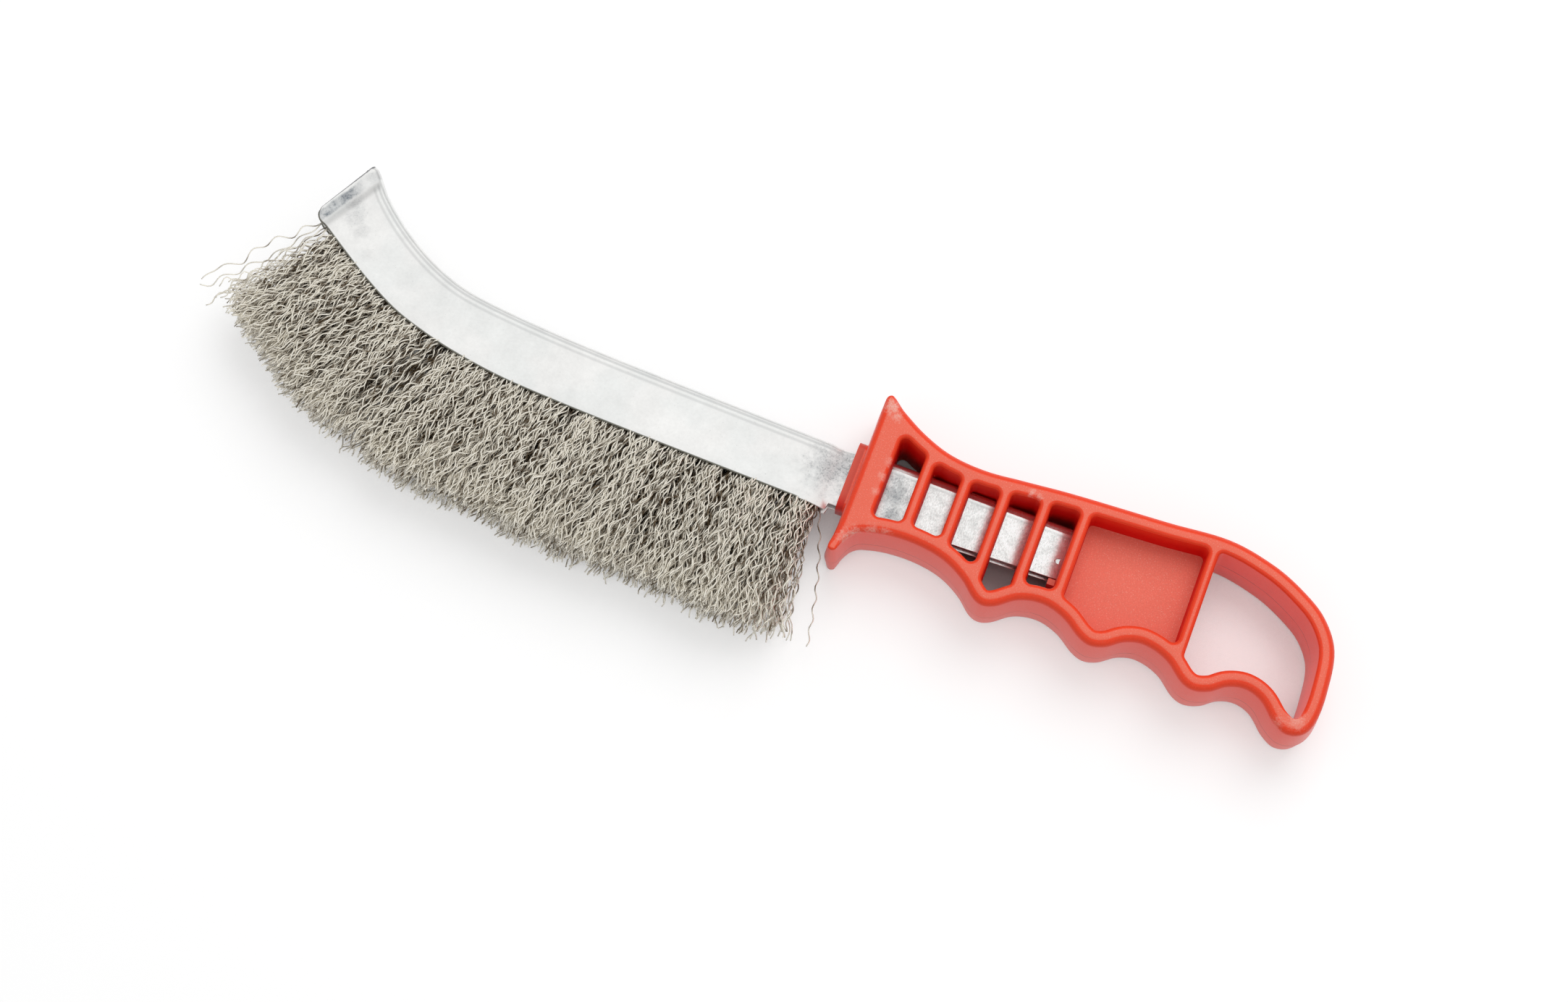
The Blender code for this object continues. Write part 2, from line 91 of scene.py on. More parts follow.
grip_shares = (
    (0.000, -0.238), (-0.002, -0.371), (-0.004, -0.429), (-0.000, -0.460), (0.011, -0.474),
    (0.022, -0.460), (0.027, -0.429), (0.033, -0.381), (0.044, -0.333), (0.059, -0.305),
    (0.108, -0.274), (0.164, -0.271), (0.218, -0.300), (0.263, -0.367), (0.297, -0.450),
    (0.321, -0.471), (0.347, -0.448), (0.385, -0.369), (0.428, -0.343), (0.471, -0.376),
    (0.512, -0.452), (0.540, -0.476), (0.571, -0.452), (0.604, -0.386), (0.637, -0.364),
    (0.682, -0.400), (0.723, -0.490), (0.752, -0.514), (0.786, -0.486), (0.815, -0.426),
    (0.845, -0.405), (0.876, -0.433), (0.911, -0.524), (0.944, -0.567), (0.979, -0.533),
)
back_shares = (
    (0.997, -0.433), (1.000, -0.238), (0.988, 0.005), (0.949, 0.171), (0.894, 0.279),
    (0.825, 0.364), (0.729, 0.417), (0.606, 0.393), (0.410, 0.360), (0.312, 0.333),
    (0.235, 0.314), (0.164, 0.333), (0.105, 0.393), (0.050, 0.481), (0.026, 0.529),
    (0.015, 0.540), (0.005, 0.527), (0.000, 0.495), (0.000, 0.333),
)

# The handle's rounded edges, wider than the CAD's: how far they reach in from the rim and from a
# window, how fast that may change along an outline, and in how many passes it is evened out
rim_fillet = 0.0021
window_fillet = 0.00118
fillet_slope = 0.30
slope_passes = 2

# What counts as a window's wall: faces this steep and this close to the window, which take the
# shaded copy of the red plastic
wall_rise = 0.3
wall_band = 0.0012

# The collar and the stop under the tang's end
collar_reach = 0.0018
collar_thickness = 0.008
collar_corner_radius = 0.0025
collar_back_wall = 0.0025
collar_grip_wall = 0.0006
collar_bite = 0.0015
collar_edge_radius = 0.0003
stop_length = 0.0020
stop_height = 0.0015
stop_thickness = 0.005
stop_bite = 0.001
fit_clearance = 0.0003

# The channel and its tang. The lip and the valley behind it are finer than the CAD's, and the
# barb is lower
sheet_thickness = 0.0008
bend_radius = 0.0016
blade_length = 0.1433
blade_height = 0.0161
blade_width = 0.0075
tip_lip_width = 0.0062
tip_lip_length = 0.0012
tip_valley_width = 0.0050
tip_valley_place = 0.0034
tip_pinch_length = 0.0075
neck_length = 0.0046
notch_length = 0.0004
notch_gap = 0.0024
tang_bite = 0.0008
tang_width = 0.0050
tang_height = 0.0151
barb_length = 0.0013
barb_height = 0.0017
barb_rise = 0.0004
barb_setback = 0.0017
barb_place_share = 0.32
blade_spine_shares = (
    (0.000, 0.460), (0.358, 0.553), (0.494, 0.602), (0.604, 0.671), (0.693, 0.765), (0.741, 0.880),
    (0.795, 1.093), (0.852, 1.410), (0.899, 1.757), (0.921, 1.981), (0.936, 2.130), (0.945, 2.168),
)
blade_mouth_shares = (
    (0.000, -0.528), (0.358, -0.447), (0.491, -0.404), (0.599, -0.342), (0.690, -0.217),
    (0.755, -0.075), (0.811, 0.093), (0.876, 0.391), (0.935, 0.714), (0.983, 0.988),
    (0.996, 1.050), (1.001, 1.130), (1.000, 1.261),
)
tang_spine_shares = ((0.0, 0.500), (0.19, 0.570), (1.0, 0.535))
tang_mouth_shares = ((0.0, -0.445), (0.19, -0.430), (1.0, -0.345))
ridge_rise = 0.00013
ridge_start = 0.0040
ridge_width = 0.0011
sheet_edge_radius = 0.00014
sheet_edge_turn = math.radians(50)
end_raggedness = 0.00013
channel_seed = 5

# The bristles: how many and how long
bristle_seed = 23
tuft_count = 10
locks_in_tuft = 24
wires_in_lock = 14
wire_radius = 0.00018
wire_root_depth = 0.0022
tip_bristle_length = 0.0345
heel_bristle_length = 0.0348
length_spread_share = 0.13
longest_share = 1.02
tip_shortening = 0.11
tip_short_length = 0.038

# Where they stand and lean. A wire's level goes from -1 to 1 through the handle's thickness
tip_fan = math.radians(14)
tip_droop = math.radians(24)
tip_droop_length = 0.020
tip_crowding = 0.6
heel_crowding = 1.4
heel_fan = math.radians(-5)
tip_fan_length = 0.050
heel_fan_length = 0.022
tip_margin = 0.0058
heel_margin = 0.0022
wire_shift_share = 0.10
lock_splay = math.radians(3.5)
wire_splay = math.radians(9)
level_power = 0.75
level_spread = 0.12
level_margin = 0.0010
rise_power = 0.8

# Their crimps and bends
crimp_length = 0.0058
crimp_length_spread = (0.75, 1.35)
crimp_sideways = 0.00052
crimp_upwards = 0.00070
crimp_spread = (0.5, 1.4)
crimp_at_root = 0.25
crimp_growth = 6
drift = 0.0009
meander = 0.00045
meander_waves = 2.3

# How much painted light a wire gets, standing in for shade deep in the tuft and for highlights: at
# the least, and what its level, its crimps and its end add to that
least_painted_light = 0.24
level_painted_light = 0.42
crimp_painted_highlight = 0.38
end_painted_light = 0.40
end_painted_light_power = 4

# Single wires that stand out at the tip and the heel: roots and ends
stray_level = 0.9
tip_strays = (
    ((-0.1497, 0.0175, 0.0110), (-0.1710, -0.0098, 0.0140)),
    ((-0.1500, 0.0180, 0.0100), (-0.1715, -0.0080, 0.0125)),
    ((-0.1485, 0.0160, 0.0120), (-0.1657, -0.0117, 0.0150)),
    ((-0.1475, 0.0150, 0.0100), (-0.1684, -0.0134, 0.0130)),
    ((-0.1490, 0.0165, 0.0090), (-0.1640, -0.0085, 0.0060)),
)
heel_strays = (
    ((-0.0100, -0.0070, 0.0110), (-0.0108, -0.0411, 0.0110)),
    ((-0.0103, -0.0070, 0.0090), (-0.0150, -0.0390, 0.0080)),
    ((-0.0105, -0.0070, 0.0115), (-0.0190, -0.0415, 0.0150)),
)

# Which distances the channel's points carry, for its material
distance_names = ("from_tip", "from_mouth", "from_spine")

# How finely the shapes are drawn
outline_steps = 7
corner_steps = 7
fillet_steps = 6
bend_steps = 7
flank_steps = 5
ridge_steps = 4
small_edge_segments = 2
tip_stations = 16
station_gap = 0.0016
barb_sides = 28
barb_rings = 16
wire_sides = 3
outer_wire_steps = 46
inner_wire_steps = 18
outer_share = 0.45
level_rise = 0.999
sharp_turn = math.radians(38)
least_corner = math.radians(32)
fold_share = 0.9999
least_run_share = 0.12
narrowing_share = 0.95
arc_room_share = 0.45
weld_distance = 1e-6

# Places that follow from these
mid_height = handle_thickness / 2
guard_front = -guard_thickness / 2 - handle_draft
windows_start = guard_thickness / 2
rib_pitch = window_length + rib_thickness
panel_start = windows_start + window_count * rib_pitch
loop_start = panel_start + panel_length + loop_rib_thickness
collar_front = guard_front - collar_reach
tang_reach = panel_start - rib_thickness + tang_bite
notch = collar_front - notch_gap
tang_start = notch + notch_length


# Outlines, as points in the plane of the handle

def placed(shares, start, length, height):
    """Points from their shares of a length along X and of a height."""
    return [Vector((start + across * length, up * height)) for across, up in shares]


def smooth_curve(points, steps, closed=False):
    """A smooth curve through the points, each span drawn as a Bezier curve of this many steps."""
    count = len(points)
    drawn = []
    for index in range(count if closed else count - 1):
        first, second = points[index], points[(index + 1) % count]
        before = points[index - 1] if index or closed else first
        after = points[(index + 2) % count] if closed or index + 2 < count else second
        reach = (second - first).length / 3
        leaving = first + reach * (second - before).normalized()
        arriving = second - reach * (after - first).normalized()
        span = interpolate_bezier(first, leaving, arriving, second, steps + 1)
        drawn.extend(point.to_2d() for point in span[:-1])
    if not closed:
        drawn.append(points[-1])
    return drawn


def turn_at(outline, index):
    """How far an outline turns at one of its points, to the left where it is positive."""
    back = outline[index] - outline[index - 1]
    ahead = outline[(index + 1) % len(outline)] - outline[index]
    return math.atan2(back.cross(ahead), back.dot(ahead))


def run_between(outline, start, end):
    """The length along an outline from one of its points on to another."""
    length = 0.0
    while start != end:
        after = (start + 1) % len(outline)
        length += (outline[after] - outline[start]).length
        start = after
    return length


def walked(points, start, step, distance):
    """The point this far along an outline from one of its points, and the indices passed."""
    passed = []
    here = start
    while True:
        ahead = (here + step) % len(points)
        length = (points[ahead] - points[here]).length
        if length >= distance:
            return points[here].lerp(points[ahead], distance / length), passed
        distance -= length
        passed.append(ahead)
        here = ahead


def distance_to(point, outline):
    """The distance from a point to the nearest side of an outline."""
    distances = []
    for index, end in enumerate(outline):
        run = end - outline[index - 1]
        share = (point - outline[index - 1]).dot(run) / run.length_squared
        distances.append((point - end + (1 - min(max(share, 0.0), 1.0)) * run).length)
    return min(distances)


def moved_in(outline, index, distance):
    """Where a point of a counterclockwise outline goes as its sides move inwards."""
    point = outline[index]
    back = (point - outline[index - 1]).normalized()
    ahead = (outline[(index + 1) % len(outline)] - point).normalized()
    along = (back + ahead).normalized()
    return point + distance / along.dot(ahead) * Vector((-along.y, along.x))


def inset(outline, distance):
    """An outline moved inwards, without what would fold over."""
    moved = [moved_in(outline, index, distance) for index in range(len(outline))]
    reach = fold_share * abs(distance)
    return [point for point in moved if distance_to(point, outline) > reach]


def clipped(outline, keep):
    """The part of an outline where keep(point), a signed distance to a line, is positive."""
    kept = []
    for index, point in enumerate(outline):
        before = outline[index - 1]
        here, there = keep(point), keep(before)
        if (here > 0) != (there > 0):
            kept.append(before.lerp(point, there / (there - here)))
        if here > 0:
            kept.append(point)
    return kept


def between(outline, low, high):
    """The part of an outline between two values of X."""
    beyond_low = clipped(outline, lambda point: point.x - low)
    return clipped(beyond_low, lambda point: high - point.x)


def rounded(outline, radius):
    """An outline with each sharp corner turned into an arc, which stays clear of the next one."""
    turns = [abs(turn_at(outline, index)) for index in range(len(outline))]
    corners = [index for index, turn in enumerate(turns) if turn >= least_corner]
    arcs = {}
    dropped = set()
    for place, index in enumerate(corners):
        point, turn = outline[index], turns[index]
        room = min(
            run_between(outline, corners[place - 1], index),
            run_between(outline, index, corners[(place + 1) % len(corners)]),
        )
        trim = min(radius * math.tan(turn / 2), arc_room_share * room)
        start, passed_back = walked(outline, index, -1, trim)
        end, passed_ahead = walked(outline, index, 1, trim)
        grip = 4 / 3 * math.tan(turn / 4) / math.tan(turn / 2)
        arcs[index] = interpolate_bezier(
            start, start.lerp(point, grip), end.lerp(point, grip), end, corner_steps + 1
        )
        dropped.update(passed_back, passed_ahead)
    smooth = []
    for index, point in enumerate(outline):
        if index in arcs:
            smooth.extend(place.to_2d() for place in arcs[index])
        elif index not in dropped:
            smooth.append(point)
    return smooth


def raised(point, height):
    return Vector((point.x, point.y, height))


def rectangle(low_x, high_x, low_y, high_y):
    return [
        Vector((low_x, low_y)), Vector((high_x, low_y)),
        Vector((high_x, high_y)), Vector((low_x, high_y)),
    ]


# Making pieces

def new_object(name, mesh):
    made = bpy.data.objects.new(name, mesh)
    bpy.context.scene.collection.objects.link(made)
    return made


def add_piece(name, mesh, material, replaced=()):
    """A finished piece of the brush, which stands for these CAD nodes."""
    made = new_object(name, mesh)
    mesh.materials.clear()
    mesh.materials.append(material)
    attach(made, "root")
    if replaced:
        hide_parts(*replaced)
    return made


def mesh_from(shape, name):
    mesh = bpy.data.meshes.new(name)
    shape.to_mesh(mesh)
    shape.free()
    return mesh


def edges_of(things):
    return [thing for thing in things if isinstance(thing, bmesh.types.BMEdge)]


def drawn_out(shape, line):
    """Draws a line of edges out, and gives the new line and its points."""
    drawn = bmesh.ops.extrude_edge_only(shape, edges=line)["geom"]
    return edges_of(drawn), [thing for thing in drawn if isinstance(thing, bmesh.types.BMVert)]


def weld(shape):
    bmesh.ops.remove_doubles(shape, verts=shape.verts, dist=weld_distance)
    bmesh.ops.recalc_face_normals(shape, faces=shape.faces)


def round_off(shape, edges, radius, segments):
    bmesh.ops.bevel(
        shape, geom=edges, offset=radius, affect="EDGES",
        segments=segments, profile=0.5, material=-1,
    )


def settled(made):
    """The mesh of an object as its modifiers leave it, in place of the object."""
    bpy.context.view_layer.update()
    graph = bpy.context.evaluated_depsgraph_get()
    mesh = bpy.data.meshes.new_from_object(made.evaluated_get(graph))
    mesh.transform(made.matrix_world)
    bpy.data.objects.remove(made, do_unlink=True)
    return mesh


def plate(name, outlines, thickness):
    """A flat solid at the handle's mid-height. Every outline after the first is a hole in it."""
    curve = bpy.data.curves.new(name, "CURVE")
    for line in [outlines[0]] + [hole[::-1] for hole in outlines[1:]]:
        spline = curve.splines.new("POLY")
        spline.points.add(len(line) - 1)
        spline.use_cyclic_u = True
        for end, point in zip(spline.points, line):
            end.co = (*point.to_3d(), 1)
    curve.dimensions = "2D"
    curve.fill_mode = "BOTH"
    curve.extrude = thickness / 2
    made = new_object(name, curve)
    made.location.z = mid_height
    mesh = settled(made)
    shape = bmesh.new()
    shape.from_mesh(mesh)
    weld(shape)
    shape.to_mesh(mesh)
    shape.free()
    return mesh


def edge_reaches(outline, into, widest):
    """How wide the rounded edge is at each point of an outline: narrower where it turns tightly."""
    reaches = [widest] * len(outline)
    tight = True
    while tight:
        moved = [moved_in(outline, index, into * reach) for index, reach in enumerate(reaches)]
        tight = []
        for index, point in enumerate(outline):
            run = point - outline[index - 1]
            if (moved[index] - moved[index - 1]).dot(run) < least_run_share * run.length_squared:
                tight.append(index)
        for index in tight:
            reaches[index] *= narrowing_share
            reaches[index - 1] *= narrowing_share
    for order in (range(len(outline)), range(len(outline) - 1, -1, -1)) * slope_passes:
        for index in order:
            for near in (index - 1, (index + 1) % len(outline)):
                room = reaches[near] + fillet_slope * (outline[index] - outline[near]).length
                reaches[index] = min(reaches[index], room)
    return reaches


def wall_rings(outline, into, widest, draft):
    """A wall of the lattice with its rounded edges, as rings of points from top to bottom."""
    reaches = edge_reaches(outline, into, widest)
    upper = []
    for step in range(fillet_steps + 1):
        turn = math.pi / 2 * step / fillet_steps
        ring = []
        for index, reach in enumerate(reaches):
            across = moved_in(outline, index, into * reach * (1 - math.sin(turn)))
            ring.append((across, handle_thickness / 2 - reach * (1 - math.cos(turn))))
        upper.append(ring)
    middle = [(moved_in(outline, index, -into * draft), 0.0) for index in range(len(outline))]
    lower = [[(across, -rise) for across, rise in ring] for ring in upper[::-1]]
    rings = [*upper, middle, *lower]
    return [[raised(across, mid_height + rise) for across, rise in ring] for ring in rings]


def draw_wall(shape, rings):
    """Draws a closed wall through its rings."""
    place_layer = shape.verts.layers.int["place"]
    start = [shape.verts.new(point) for point in rings[0]]
    for index, vert in enumerate(start):
        vert[place_layer] = index
    line = [shape.edges.new((vert, start[index - 1])) for index, vert in enumerate(start)]
    for ring in rings[1:]:
        line, row = drawn_out(shape, line)
        for vert in row:
            vert.co = ring[vert[place_layer]]


def level_face(outlines, height):
    """A flat face at a height. Every outline after the first is a hole in it."""
    mesh = plate("level_face", outlines, 0.0)
    mesh.transform(Matrix.Translation((0, 0, height - mid_height)))
    return mesh


def cut_out(mesh, tool_mesh):
    """The mesh with the tool's space cut out of it."""
    made = new_object("target", mesh)
    tool = new_object("tool", tool_mesh)
    modifier = made.modifiers.new("cut", "BOOLEAN")
    modifier.object = tool
    modifier.operation = "DIFFERENCE"
    modifier.solver = "EXACT"
    cut = settled(made)
    bpy.data.objects.remove(tool, do_unlink=True)
    return cut


def shade(mesh, smooth_rise=level_rise):
    """Smooth shading on all but the faces that lie level, with sharp edges kept."""
    for face in mesh.polygons:
        face.use_smooth = abs(face.normal.z) < smooth_rise
    mesh.set_sharp_from_angle(angle=sharp_turn)


# Handle

def tang_edges():
    """The tang's spine and mouth, from the notch to its end."""
    length = tang_reach - tang_start
    spine = placed(tang_spine_shares, tang_start, length, tang_height)
    mouth = placed(tang_mouth_shares, tang_start, length, tang_height)
    return spine, mouth


def slot_outline():
    """The tang's way through the collar, the guard and the ribs."""
    spine, mouth = tang_edges()
    front = collar_front - collar_reach
    end = tang_reach + fit_clearance
    gap = Vector((0, fit_clearance))
    low = [Vector((front, mouth[0].y)), mouth[1], Vector((end, mouth[-1].y))]
    high = [Vector((end, spine[-1].y)), spine[1], Vector((front, spine[0].y))]
    return [point - gap for point in low] + [point + gap for point in high]


def slot_cutter():
    return plate("slot", [slot_outline()], tang_width + 2 * fit_clearance)


def make_lattice(red_plastic, shaded_red_plastic):
    """The moulded frame: rails, guard, ribs and hanging loop."""
    widest = smooth_curve(
        placed(grip_shares + back_shares, guard_front, handle_length, guard_height),
        outline_steps, closed=True,
    )
    rim = inset(widest, handle_draft)
    inner = inset(widest, rail_width)
    holes = []
    for index in range(window_count):
        start = windows_start + index * rib_pitch
        holes.append(rounded(between(inner, start, start + window_length), window_corner_radius))
    panel = rounded(between(inner, panel_start, panel_start + panel_length), window_corner_radius)
    holes.append(panel)
    holes.append(rounded(between(inner, loop_start, handle_length), loop_corner_radius))
    shape = bmesh.new()
    shape.verts.layers.int.new("place")
    walls = [wall_rings(rim, 1, rim_fillet, handle_draft)]
    walls += [wall_rings(hole, -1, window_fillet, window_draft) for hole in holes]
    for rings in walls:
        draw_wall(shape, rings)
    for end in (0, -1):
        level = [[point.xy for point in rings[end]] for rings in walls]
        shape.from_mesh(level_face(level, walls[0][end][0].z))
    weld(shape)
    lattice = mesh_from(shape, "handle_lattice")
    lattice = cut_out(lattice, slot_cutter())
    shade(lattice)
    add_piece("handle_lattice", lattice, red_plastic, ["handle"])
    # The walls of the windows and the panel take the shaded copy of the red plastic, whose colour is
    # painted shade
    lattice.materials.append(shaded_red_plastic)
    for face in lattice.polygons:
        near = face.center.xy
        inside = min(distance_to(near, hole) for hole in holes[:-1])
        if abs(face.normal.z) < wall_rise and inside < min(wall_band, distance_to(near, rim)):
            face.material_index = 1
    web = plate("handle_web", [inset(panel, -panel_web_bite)], panel_web_thickness)
    shade(web)
    add_piece("handle_web", web, red_plastic)


def make_collar(red_plastic):
    """A block with rounded edges along the tang, standing out of the guard's front."""
    spine, mouth = tang_edges()
    low = mouth[0].y - fit_clearance - collar_grip_wall
    high = spine[0].y + fit_clearance + collar_back_wall
    shape = bmesh.new()
    bmesh.ops.create_cube(shape, size=1)
    for corner in shape.verts:
        corner.co.x = collar_front if corner.co.x < 0 else guard_front + collar_bite
        corner.co.y = low if corner.co.y < 0 else high
        corner.co.z = mid_height + corner.co.z * collar_thickness
    lengthwise = [edge for edge in shape.edges if edge.verts[0].co.yz == edge.verts[1].co.yz]
    round_off(shape, lengthwise, collar_corner_radius, corner_steps)
    front = [edge for edge in shape.edges if all(vert.co.x == collar_front for vert in edge.verts)]
    round_off(shape, front, collar_edge_radius, small_edge_segments)
    collar = cut_out(mesh_from(shape, "handle_collar"), slot_cutter())
    shade(collar)
    add_piece("handle_collar", collar, red_plastic)


def make_stop(red_plastic):
    """A small block on the last rib's wall, under the end of the tang."""
    _, mouth = tang_edges()
    top = mouth[-1].y - fit_clearance
    back = panel_start - rib_thickness
    outline = rectangle(back - stop_length, back + stop_bite, top - stop_height, top)
    stop = plate("handle_stop", [outline], stop_thickness)
    shade(stop)
    add_piece("handle_stop", stop, red_plastic)


# Channel

class Blade:
    """The two edges of the blade, drawn from the notch to the tip, and its width along them."""

    def __init__(self):
        self.spine = smooth_curve(
            placed(blade_spine_shares, notch, -blade_length, blade_height), outline_steps
        )
        self.mouth = smooth_curve(
            placed(blade_mouth_shares, notch, -blade_length, blade_height), outline_steps
        )
        self.run = (self.length(self.spine) + self.length(self.mouth)) / 2
        self.width_stops = (
            (0.0, tip_lip_width),
            (tip_lip_length, tip_lip_width),
            (tip_valley_place, tip_valley_width),
            (tip_pinch_length, blade_width),
            (self.run - neck_length, blade_width),
            (self.run, tang_width),
        )

    @staticmethod
    def length(line):
        return sum((second - first).length for first, second in zip(line, line[1:]))

    def edge(self, line, distance):
        share = 1 - distance / self.run
        return walked(line, 0, 1, share * self.length(line))[0] if share < 1 else line[-1]

    def width(self, distance):
        for (low, low_width), (high, high_width) in zip(self.width_stops, self.width_stops[1:]):
            if distance <= high:
                share = (distance - low) / (high - low)
                share = share * share * (3 - 2 * share)
                return low_width + share * (high_width - low_width)
        return tang_width

    def at(self, distance):
        """The mouth, the unit vector from it to the spine, the height between them and the width."""
        mouth = self.edge(self.mouth, distance)
        across = self.edge(self.spine, distance) - mouth
        return mouth, across.normalized(), across.length, self.width(distance)


def sheet_section(mouth, across, height, width, ridge):
    """The sheet's outer face from lip to lip, each point with its distance from the mouth."""
    flat_height = height - bend_radius
    flat_rise = width / 2 - bend_radius
    upper = []
    for step in range(flank_steps):
        upper.append((step / flank_steps * (flat_height - ridge_width), width / 2))
    for step in range(ridge_steps):
        share = step / ridge_steps
        swell = ridge * math.sin(math.pi * share) ** 2
        upper.append((flat_height - (1 - share) * ridge_width, width / 2 + swell))
    for step in range(bend_steps + 1):
        turn = math.pi / 2 * step / bend_steps
        upper.append((
            flat_height + bend_radius * math.sin(turn), flat_rise + bend_radius * math.cos(turn),
        ))
    outer = upper + [(reach, -rise) for reach, rise in upper[::-1]]
    return [(raised(mouth + reach * across, mid_height + rise), reach) for reach, rise in outer]


def channel_stations():
    """Each section of the sheet with its distance from the tip: the blade's, then the tang's."""
    rest = blade.run - tip_pinch_length
    steps = math.ceil(rest / station_gap)
    places = [tip_pinch_length * step / tip_stations for step in range(tip_stations)]
    places += [tip_pinch_length + rest * step / steps for step in range(steps + 1)]
    stations = []
    for place in places:
        ridge = ridge_rise * min(max((place - ridge_start) / ridge_start, 0.0), 1.0)
        stations.append((sheet_section(*blade.at(place), ridge), place))
    spine, mouth = tang_edges()
    for back, front in zip(spine, mouth):
        across = back - front
        section = sheet_section(front, across.normalized(), across.length, tang_width, ridge_rise)
        stations.append((section, blade.run + notch_length + (front - mouth[0]).length))
    return stations


def make_channel(zinc_steel):
    """The folded strip, drawn out from its end at the tip to the end of its tang."""
    chance = random.Random(channel_seed)
    shape = bmesh.new()
    place_layer = shape.verts.layers.int.new("place")
    from_tip, from_mouth, from_spine = (
        shape.verts.layers.float.new(name) for name in distance_names
    )
    stations = channel_stations()
    ends = [shape.verts.new(point) for point, _ in stations[0][0]]
    for index, vert in enumerate(ends):
        vert[place_layer] = index
        vert.co.x += chance.uniform(0.0, end_raggedness)
    line = [shape.edges.new(pair) for pair in zip(ends, ends[1:])]
    rows = [ends]
    for section, _ in stations[1:]:
        line, row = drawn_out(shape, line)
        for vert in row:
            vert.co = section[vert[place_layer]][0]
        rows.append(row)
    for row, (section, distance) in zip(rows, stations):
        spine_reach = max(reach for _, reach in section)
        for vert in row:
            vert[from_tip] = distance
            vert[from_mouth] = section[vert[place_layer]][1]
            vert[from_spine] = spine_reach - section[vert[place_layer]][1]
    bmesh.ops.recalc_face_normals(shape, faces=shape.faces)
    spine_face = max(shape.faces, key=lambda face: face.calc_center_median().y)
    if spine_face.normal.y < 0:
        bmesh.ops.reverse_faces(shape, faces=shape.faces)
    for face in shape.faces:
        face.smooth = True
    made = add_piece(
        "channel_sheet", mesh_from(shape, "channel_sheet"), zinc_steel, ["channel"]
    )
    wall = made.modifiers.new("sheet", "SOLIDIFY")
    wall.thickness = sheet_thickness
    wall.offset = -1
    wall.use_even_offset = True
    edges = made.modifiers.new("worn_edges", "BEVEL")
    edges.width = sheet_edge_radius
    edges.segments = small_edge_segments
    edges.limit_method = "ANGLE"
    edges.angle_limit = sheet_edge_turn


def make_barb(zinc_steel):
    """A tongue punched out of the tang's upper flank: a low dome, cut square at its back."""
    spine, mouth = tang_edges()
    middle = mouth[-1].lerp(spine[-1], barb_place_share)
    shape = bmesh.new()
    bmesh.ops.create_uvsphere(shape, u_segments=barb_sides, v_segments=barb_rings, radius=1.0)
    bmesh.ops.scale(shape, verts=shape.verts, vec=(barb_length, barb_height / 2, barb_rise))
    cut = bmesh.ops.bisect_plane(
        shape, geom=[*shape.verts, *shape.edges, *shape.faces],
        plane_co=(0, 0, 0), plane_no=(1, 0, 0), clear_outer=True,
    )
    bmesh.ops.holes_fill(shape, edges=edges_of(cut["geom_cut"]))
    place = (tang_reach - barb_setback, middle.y, mid_height + tang_width / 2)
    bmesh.ops.translate(shape, verts=shape.verts, vec=place)
    distances = (blade.run + tang_reach, barb_height, barb_height)
    for name, distance in zip(distance_names, distances):
        layer = shape.verts.layers.float.new(name)
        for vert in shape.verts:
            vert[layer] = distance
    barb = mesh_from(shape, "channel_barb")
    shade(barb, smooth_rise=math.inf)
    add_piece("channel_barb", barb, zinc_steel)


# Bristles

def fan_angle(distance):
    """How far a wire leans towards the tip, or towards the handle where it is negative."""
    tip_share = max(0.0, 1 - distance / tip_fan_length)
    heel_share = max(0.0, 1 - (blade.run - distance) / heel_fan_length)
    droop_share = max(0.0, 1 - (distance - tip_margin) / (tip_droop_length - tip_margin))
    return tip_fan * tip_share - tip_droop * droop_share - heel_fan * heel_share


def kept_in(point, low, high):
    """The point, moved into the CAD's box with room for the wire's own radius."""
    return Vector(
        min(max(here, least + wire_radius), most - wire_radius)
        for here, least, most in zip(point, low, high)
    )


class Lock:
    """Neighbouring wires that lean alike and end together, somewhere between two distances."""

    def __init__(self, low, high, crowding, chance):
        self.distance = low + (high - low) * chance.random() ** crowding
        self.lean = chance.gauss(0.0, lock_splay)
        self.reach_share = 1 - length_spread_share * chance.random()


